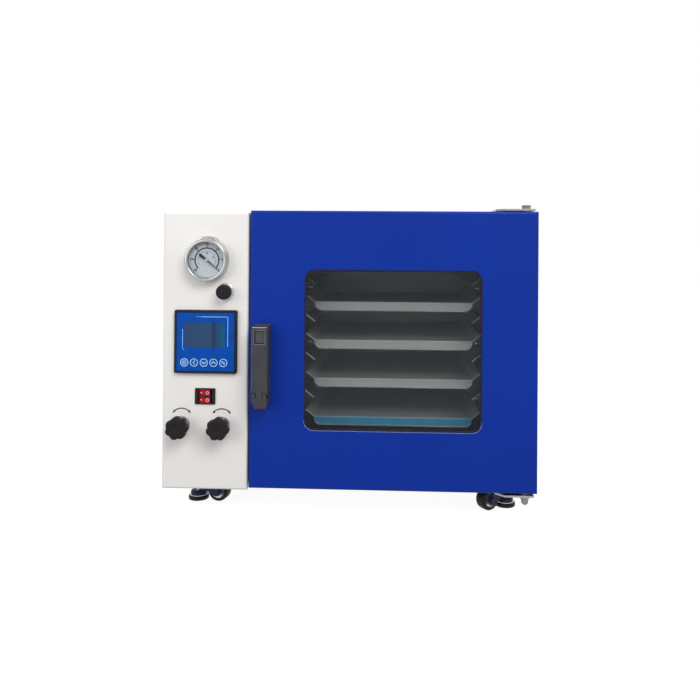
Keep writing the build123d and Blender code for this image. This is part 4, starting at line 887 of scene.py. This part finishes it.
dial_arc("dial_arc", SCALE_R - 1.9 * MM, SCALE_R, 90)
dial_ticks("dial_major_ticks", 7, SCALE_R - 0.5 * MM, SCALE_R + 2.2 * MM, 1.1 * MM)
dial_ticks("dial_minor_ticks", 31, SCALE_R - 3.0 * MM, SCALE_R - 0.6 * MM, 0.4 * MM)
dial_numbers("dial_number", range(0, 35, 5), np.linspace(SCALE_LOW, SCALE_HIGH, 7), 5.2 * MM, 24.0 * MM)
dial_arc("dial_inner_arc", 13.8 * MM, 14.1 * MM, 60)
dial_ticks("dial_inner_ticks", 21, 12.6 * MM, 14.0 * MM, 0.3 * MM)
dial_numbers("dial_inner_number", (25, 50, 75), np.linspace(SCALE_LOW, SCALE_HIGH, 5)[1:4], 3.4 * MM, 10.6 * MM)
# painted shade: a grey ring at the dial's rim, where the bezel shades the dial
ring_mark("dial_painted_shade_ring", gauge.x, gauge.z, 26.7 * MM, 27.4 * MM, *DIAL_PRINT[:3], MAT["rim_grey"], 72)
NEEDLE_ZERO = -39
needle_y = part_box("gauge_pointer")[0].y


def needle():
    """Needle as one outline turned to its zero: a taper to the scale, and a broad bar behind the hub."""
    half = [(22.8, 0.4), (0.0, 1.0), (-3.8, 1.0), (-4.6, 1.9), (-14.4, 1.9)]
    outline = mm(half + [(r, -w) for r, w in half[::-1]])
    a = np.radians(NEEDLE_ZERO)
    turn = np.array([[np.cos(a), np.sin(a)], [-np.sin(a), np.cos(a)]])
    piece = slab("gauge_needle_bar", outline @ turn + np.array([gauge.x, gauge.z]), needle_y + 1.0 * MM,
                 needle_y + 1.8 * MM, "gauge_needle", MAT["ink"], 0.15 * MM)
    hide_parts("gauge_pointer")


needle()
turned("pointer_hub", (gauge.x, needle_y, gauge.z), (0, -1, 0),
       mm([(0, 0), (1.1, 0), (1.6, -0.2), (1.8, -0.6), (1.8, -2.6), (0, -2.6)]),
       "gauge_needle", MAT["bright"], 32)


# Fuse cap: fluted cap over a bright sleeve

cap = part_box("fuse_cap")
cap_mid = middle("fuse_holder")
CAP_R = (cap[1].x - cap[0].x) / 2
CAP_R_MM = 11.5
FLUTES = 20
FLUTE_DEPTH = 0.75


def fluted_cap():
    """Cap turned about its axis. Its side is cut by flutes: the radius falls by a narrow cosine power
    of the angle, and the cut fades out over the rolled front edge. Rows are radius, depth and share."""
    steps = 240
    a = full_turn(steps)
    groove = (0.5 + 0.5 * np.cos(FLUTES * a)) ** 2
    length = (cap[1].y - cap[0].y) / MM
    rows = [(0, 0.0, 0), (4.6, 0.0, 0), (5.0, 0.25, 0), (5.4, 0.25, 0), (5.8, 0.0, 0), (8.4, 0.0, 0),
            (9.6, 0.15, 0.0), (10.6, 0.6, 0.25), (11.2, 1.3, 0.7), (CAP_R_MM, 2.4, 1.0), (CAP_R_MM, 8.0, 1.0),
            (CAP_R_MM, 12.6, 1.0), (CAP_R_MM, 13.0, 0.4), (CAP_R_MM, 13.4, 0.0), (CAP_R_MM, length - 0.5, 0),
            (11.0, length, 0), (6.1, length, 0)]
    r, y, cut = np.array(rows).T
    scale = CAP_R / (CAP_R_MM * MM)
    radius = (r[:, None] * scale - FLUTE_DEPTH * cut[:, None] * groove[None]) * MM
    depth = np.broadcast_to((cap[0].y + y * MM)[:, None], radius.shape)
    points = np.stack([cap_mid.x + radius * np.cos(a), depth, cap_mid.z + radius * np.sin(a)], -1)
    piece = finish_grid("fluted_fuse_cap", points, "fuse_top", MAT["knob"], 50.0)
    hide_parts("fuse_cap")


fluted_cap()
turned("fuse_bright_ring", (cap_mid.x, panel_y, cap_mid.z), (0, -1, 0),
       mm([(11.7, 0), (13.8, 0), (13.8, 1.6), (13.4, 2.4), (12.5, 2.8), (12.5, 9.4), (12.2, 10.0), (11.7, 10.0),
           (11.7, 0)]), "cabinet", MAT["bright"], 64)


# Controller: blue face, outline, key rings and their signs

FACE_T = 0.12 * MM
FACE_INSET = 8.4 * MM
KEY_WELL_R = 6.85 * MM
SCREEN_LAP = 0.6 * MM
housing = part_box("controller_housing")
control = (housing[0] + housing[1]) / 2
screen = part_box("display_window")
screen_mid = middle("display_window")
face_y = screen[0].y
face_w = housing[1].x - housing[0].x - FACE_INSET
keys = [middle("key_%d" % number) for number in (1, 2, 3, 4, 5)]
holes = [ring_of(key.x, key.z, KEY_WELL_R, 40) for key in keys]
holes.append(round_rect(screen_mid.x, screen_mid.z, screen[1].x - screen[0].x - SCREEN_LAP,
                        screen[1].z - screen[0].z - SCREEN_LAP, 0.8 * MM))
pierced("controller_face", [round_rect(control.x, control.z, face_w, face_w, 1.4 * MM)] + holes, face_y, FACE_T,
        "cabinet", MAT["face"])
rolled_copy("controller_housing", 0.5 * MM, MAT["navy"])

FACE_LINES = {
    "top": ([(-6.0, 38.7), (35.2, 38.7)], 0.8),
    "top_left": ([(-14.5, 38.7), (-6.0, 38.7)], 0.35),
    "right": ([(35.0, 39.1), (35.0, -7.0)], 0.8),
    "left": ([(-35.6, 19.5), (-35.6, -10.0)], 0.6),
    "corner": ([(-35.6, -10.0), (-34.8, -11.6), (-33.0, -12.2)], 0.5),
}
for part, (points, width) in FACE_LINES.items():
    outline = stroke(mm(points) + np.array([control.x, control.z]), width * MM)
    mark("face_line_" + part, outline, face_y - FACE_T, "cabinet", "controller_blue", MAT["pale_ink"])

KEY_ARMS = {
    2: ([(1.6, 3.0), (-1.5, 0.0), (1.6, -3.0)], 1.5),
    3: ([(-3.0, 1.2), (0.0, -1.9), (3.0, 1.2)], 1.8),
    4: ([(-3.0, -1.4), (0.0, 1.7), (3.0, -1.4)], 1.8),
}


def key_sign(number, key):
    """Ring round the key's edge, and its own sign: target, left, down, up, or two linked marks."""
    sign = "key_sign_%d_" % number
    ink = (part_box("key_%d" % number)[0].y, "panel_key_%d" % number, "key_blue", MAT["pale_ink"])

    def ring(name, r_in, r_out, steps, x=0.0, z=0.0):
        ring_mark(name, key.x + x * MM, key.z + z * MM, r_in * MM, r_out * MM, *ink, steps)

    def draw(part, points, width):
        mark(sign + part, stroke(mm(points) + np.array([key.x, key.z]), width * MM), *ink)

    ring("key_ring_%d" % number, 5.1, 6.3, 48)
    if number == 1:
        ring(sign + "outer", 2.5, 3.3, 32)
        ring(sign + "inner", 0.8, 1.6, 24)
    elif number == 5:
        ring(sign + "a", 0.65, 1.5, 20, -1.5, 1.2)
        ring(sign + "b", 0.65, 1.5, 20, 1.3, -1.3)
        draw("bar", [(-2.9, -1.6), (-0.6, 0.2), (2.6, 2.2)], 0.6)
    else:
        draw("arm", *KEY_ARMS[number])
    rolled_copy("key_%d" % number, 0.12 * MM, MAT["face"])


for number, key in enumerate(keys, 1):
    key_sign(number, key)


# Switches: housing and rockers with their on and off marks

RIDGE_DX = -1.66 * MM
PRESSED_TILT = -24

rolled_copy("switch_housing", 0.35 * MM, MAT["black"])
for node, body in (("rocker_power", "power_rocker"), ("rocker_light", "light_rocker")):
    rolled_copy(node, 0.35 * MM, MAT["rocker"])
    low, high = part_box(node)
    pivot = Vector(JOINTS[body + "_tip"]["pos_m"])
    ridge_x, z = pivot.x + RIDGE_DX, pivot.z
    ink = (low.y, body, "rocker_red", MAT["switch_ink"])
    ring_mark(node + "_off", (ridge_x + high.x) / 2 + 0.8 * MM, z, 1.75 * MM, 2.45 * MM, *ink, 32)
    on = mark(node + "_on", stroke([(ridge_x - 6.9 * MM, z), (ridge_x - 2.9 * MM, z)], 1.1 * MM), *ink)
    ridge = Matrix.Translation((ridge_x, low.y, z))
    on.data.transform(ridge @ Matrix.Rotation(np.radians(PRESSED_TILT), 4, "Z") @ ridge.inverted())


# Valve knobs: seven soft lobes, bright collar and the printed turning arrows

KNOB_LOBES = 7
LOBE_REACH = 10.9
LOBE_R = 6.6
KNOB_CORE_R = 10.5
NECK = 14.0
ARROW_R = 17.5 * MM
ARROW_DZ = 7.6 * MM
ARROW_HALF_W = 0.85 * MM
HEAD_HALF_W = 2.1 * MM
HEAD_ANGLE = 17
COLLAR = mm([(7.6, 0), (13.6, 0), (13.6, 1.2), (13.0, 1.9), (11.4, 2.1), (10.9, 2.6), (10.7, 5.4), (10.0, 6.0),
             (7.6, 6.0), (7.6, 0)])


def lobed_knob(node, body, turn):
    """Hand knob: its outline is the outermost of seven circles round a core, softened by a rolling mean;
    rows go from the front's middle over the rolled rim to the neck, part way from a circle to the outline."""
    low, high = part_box(node)
    joint = JOINTS[body + "_turn"]["pos_m"]
    cx, cz = joint[0], joint[2]
    steps = 336
    a = full_turn(steps)
    step = 2 * np.pi / KNOB_LOBES
    near = (a - turn + step / 2) % step - step / 2
    tip = LOBE_REACH * np.cos(near) + np.sqrt(np.maximum(LOBE_R ** 2 - (LOBE_REACH * np.sin(near)) ** 2, 0))
    window = np.exp(-0.5 * (np.arange(-14, 15) / 5.0) ** 2)
    edge = sum(w * np.roll(tip, k) for k, w in zip(range(-14, 15), window / window.sum()))
    length = (high.y - low.y) / MM
    rows = [(0, 0, 0.9), (0, 5.6, 0.9), (0, 6.2, 0.55), (0, 6.5, 0.2), (0, 7.4, 0.1), (0, 9.5, 0.0),
            (0.5, -3.4, 0.0), (1, -2.2, 0.1), (1, -1.2, 0.4), (1, -0.4, 1.2), (1, 0, 2.6), (1, 0.1, 8.0),
            (1, 0, 13.2), (1, -0.5, 14.8), (1, -1.6, 15.7), (0.5, -3.0, 16.0), (0, 9.0, 16.0), (0, 7.6, 16.2),
            (0, 7.0, 17.2), (0, 7.0, length - NECK), (0, 3.0, length - NECK), (0, 3.0, length), (0, 0, length)]
    share, r, y = np.array(rows, float).T
    circle = np.where(share > 0, KNOB_CORE_R, r)[:, None]
    radius = (1 - share[:, None]) * circle + share[:, None] * (edge[None] + np.where(share > 0, r, 0)[:, None])
    radius *= MM
    depth = np.broadcast_to((low.y + y * MM)[:, None], radius.shape)
    points = np.stack([cx + radius * np.cos(a), depth, cz + radius * np.sin(a)], -1)
    piece = finish_grid(node + "_lobed", points, body, MAT["knob"], 40.0)
    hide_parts(node)
    turned(node + "_collar", (cx, panel_y, cz), (0, -1, 0), COLLAR,
           "cabinet", MAT["bright"], 64)
    z = cz + ARROW_DZ
    arc = ring_band(cx, z, ARROW_R - ARROW_HALF_W, ARROW_R + ARROW_HALF_W, 48, 132, 30)
    for part, outline in (("arc", arc), ("head_left", arrow_head(cx, z, 146, 1)),
                          ("head_right", arrow_head(cx, z, 34, -1))):
        mark("%s_arrow_%s" % (node, part), outline, panel_y, "cabinet", "pointer_black", MAT["ink"])


def arrow_head(cx, cz, angle, way):
    """Triangle whose tip lies on the circle at the angle and whose base crosses it a little before."""
    tip, base = np.radians(angle), np.radians(angle - way * HEAD_ANGLE)
    corners = ((ARROW_R, tip), (ARROW_R + HEAD_HALF_W, base), (ARROW_R - HEAD_HALF_W, base))
    return [around(cx, cz, r, a) for r, a in corners]


lobed_knob("vent_knob", "vent_valve_knob", np.radians(100))
lobed_knob("vacuum_knob", "pump_valve_knob", np.radians(92))


# Handle: its front face leans a little back at the top, so that the frame of the button is inside its depth

GRIP_LEAN = 0.3 * MM
PIVOT_KEEP = 30.0 * MM
TONGUE_HALF = 5.4 * MM
LIP_INSET = 1.4 * MM
FRAME_W, FRAME_H = 18.6 * MM, 22.4 * MM
FRAME_HOLE_W, FRAME_HOLE_H = 15.6 * MM, 19.5 * MM

rolled_copy("latch_cam", 0.5 * MM, MAT["handle"])
rolled_copy("handle_base", 0.6 * MM, MAT["handle"])
rolled_copy("handle_button", 0.4 * MM, MAT["button"])
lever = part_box("handle_lever")
lever_x, lever_y = (lever[0].x + lever[1].x) / 2, lever[0].y
grip = rolled_copy("handle_lever", 0.5 * MM, MAT["handle"])
for corner in grip.data.vertices:
    if corner.co.y < lever_y + 0.02 * MM and corner.co.z > lever[0].z + PIVOT_KEEP:
        corner.co.y += GRIP_LEAN

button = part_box("handle_button")
button_z = (button[0].z + button[1].z) / 2
frame_rows = [(0.0, 0.35), (0.2, 0.06), (0.7, 0.06), (1.0, 0.35), (1.0, 0.9), (0.0, 0.9)]
# raised frame round the button, coloured lighter than the handle as a painted highlight
rim("handle_button_frame", round_rect(lever_x, button_z, FRAME_W, FRAME_H, 1.4 * MM),
    round_rect(lever_x, button_z, FRAME_HOLE_W, FRAME_HOLE_H, 0.6 * MM),
    [(share, lever_y + depth * MM) for share, depth in frame_rows], "lever", MAT["trim"])
for side, a, b in (("left", lever[0].x + LIP_INSET, lever_x - TONGUE_HALF),
                   ("right", lever_x + TONGUE_HALF, lever[1].x - LIP_INSET)):
    slab("handle_lip_" + side, round_rect((a + b) / 2, lever[0].z + 2.6 * MM, b - a, 6.4 * MM, 0.4 * MM),
         lever_y + 0.1 * MM, lever_y + 1.1 * MM, "latch", MAT["handle"], 0.3 * MM)
# painted highlight: a bright steel bar along the lever's top front edge
y, z = lever_y + 0.9 * MM, lever[1].z - 0.9 * MM
tube("handle_top_highlight_bar", [(lever[0].x + 1.6 * MM, y, z), (lever[1].x - 1.6 * MM, y, z)], 0.6 * MM,
     "lever", "handle_grey", MAT["bolt"])
# painted highlight: a lighter bar along the lever's left edge
x = lever[0].x + 0.9 * MM
tube("handle_side_highlight_bar", [(x, y, lever[0].z + 12 * MM), (x, y, lever[1].z - 2 * MM)], 0.45 * MM,
     "lever", "handle_grey", MAT["trim"], across=(1, 0, 0))


# Hinges

SCREW_INSET = 14.0 * MM
HINGE_SCREW_ROWS = (-0.1725, -0.1495)
rolled_copy("hinge_plates", 0.3 * MM, MAT["stainless"])
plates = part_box("hinge_plates")
places = [(x, y) for y in HINGE_SCREW_ROWS for x in (plates[0].x + SCREW_INSET, plates[1].x - SCREW_INSET)]
for number, (x, y) in enumerate(places):
    pan_head("top_hinge_screw_%d" % number, (x, y, plates[1].z), (0, 0, 1), 3.6 * MM)


# Casters: tread, hub and foot

TREAD = mm([(11.4, -8.2), (12.2, -8.8), (13.6, -9.0), (15.0, -8.9), (16.3, -8.2), (17.1, -7.0), (17.45, -5.2),
            (17.5, -2.5), (17.5, -0.7), (17.1, -0.4), (17.1, 0.4), (17.5, 0.7), (17.5, 2.5), (17.45, 5.2),
            (17.1, 7.0), (16.3, 8.2), (15.0, 8.9), (13.6, 9.0), (12.2, 8.8), (11.4, 8.2), (11.4, -8.2)])
HUB = mm([(3.05, -9.0), (5.2, -9.0), (5.6, -8.5), (5.7, -7.2), (6.2, -6.9), (10.2, -6.9), (10.7, -7.2),
          (10.9, -8.3), (11.5, -8.5), (11.5, 8.5), (10.9, 8.3), (10.7, 7.2), (10.2, 6.9), (6.2, 6.9),
          (5.7, 7.2), (5.6, 8.5), (5.2, 9.0), (3.05, 9.0), (3.05, -9.0)])
PAD = mm([(0, 0), (15.2, 0), (16.0, 0.3), (16.5, 1.1), (16.5, 4.6), (16.2, 5.8), (15.2, 6.8), (14.4, 7.0),
          (0, 7.0)])
DISC = mm([(0, 7.0), (14.6, 7.0), (15.0, 7.3), (15.0, 8.2), (14.6, 8.5), (0, 8.5)])
THREAD_PITCH = 1.25
stem_z = np.linspace(13.6, 31.2, 89)
stem_r = 3.75 + 0.25 * np.cos(2 * np.pi * stem_z / THREAD_PITCH)
STEM = mm([(0, 13.4)] + list(zip(stem_r, stem_z)) + [(3.2, 32.0), (0, 32.0)])
CORNERS = ("fl", "fr", "rl", "rr")


def caster(corner):
    """Yoke, wheel about its axle, and the foot's rubber sole, disc and threaded stem about its pin."""
    rolled_copy("caster_yoke_" + corner, 0.35 * MM, MAT["yoke"])
    roll = JOINTS["caster_roll_" + corner]
    axle, way = Vector(roll["pos_m"]), Vector(roll["axis"])
    pin = Vector(JOINTS["caster_swivel_" + corner]["pos_m"])
    wheel, foot = "wheel_" + corner, "foot_" + corner
    base, up = (pin.x, pin.y, 0), (0, 0, 1)
    tread = turned("caster_tread_" + corner, axle, way, TREAD, wheel, MAT["tyre"], 56, 40.0)
    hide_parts("caster_wheel_" + corner)
    turned("caster_hub_" + corner, axle, way, HUB, wheel, MAT["bright"], 40, 40.0)
    sole = turned("caster_pad_" + corner, base, up, PAD, foot, MAT["rubber"], 56, 40.0)
    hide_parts("caster_foot_" + corner)
    turned("caster_disc_" + corner, base, up, DISC, foot, MAT["bolt"], 56, 40.0)
    turned("caster_stem_" + corner, base, up, STEM, foot, MAT["bolt"], 24, 60.0)


def thumb_wheel(corner):
    """Knurled wheel on the foot's stem: radius falls by a fine cosine between the two rolled rims."""
    pin = Vector(JOINTS["caster_swivel_" + corner]["pos_m"])
    steps, knurls, knurl_depth = 216, 36, 0.4
    a = full_turn(steps)
    rows = [(0, 8.5, 0), (12.2, 8.5, 0), (12.8, 8.8, 0), (13.0, 9.2, 0.3), (13.0, 9.6, 1), (13.0, 12.4, 1),
            (13.0, 12.8, 0.3), (12.8, 13.2, 0), (12.2, 13.5, 0), (6.5, 13.5, 0), (6.3, 13.5, 0), (0, 13.5, 0)]
    r, z, cut = np.array(rows, float).T
    radius = (r[:, None] - knurl_depth * cut[:, None] * (0.5 + 0.5 * np.cos(knurls * a))[None]) * MM
    height = np.broadcast_to((z * MM)[:, None], radius.shape)
    points = np.stack([pin.x + radius * np.cos(a), pin.y + radius * np.sin(a), height], -1)
    finish_grid("caster_thumb_wheel_" + corner, points, "foot_" + corner, MAT["yoke"], 50.0)


for corner in CORNERS:
    caster(corner)
for corner in CORNERS:
    thumb_wheel(corner)


# Rear: screws of the panel, mains inlet

REAR_SIDE_SCREW_Z = 0.235
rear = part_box("rear_panel")
left, right = rear[0].x + SCREW_INSET, rear[1].x - SCREW_INSET
places = [(x, z) for x in np.linspace(left, right, 5) for z in (rear[0].z + 10 * MM, rear[1].z - 10 * MM)]
places += [(x, REAR_SIDE_SCREW_Z) for x in (left, right)]
for number, (x, z) in enumerate(places):
    pan_head("rear_screw_%d" % number, (x, rear[1].y, z), (0, 1, 0), 3.4 * MM)
rolled_copy("power_inlet", 0.4 * MM, MAT["black"])
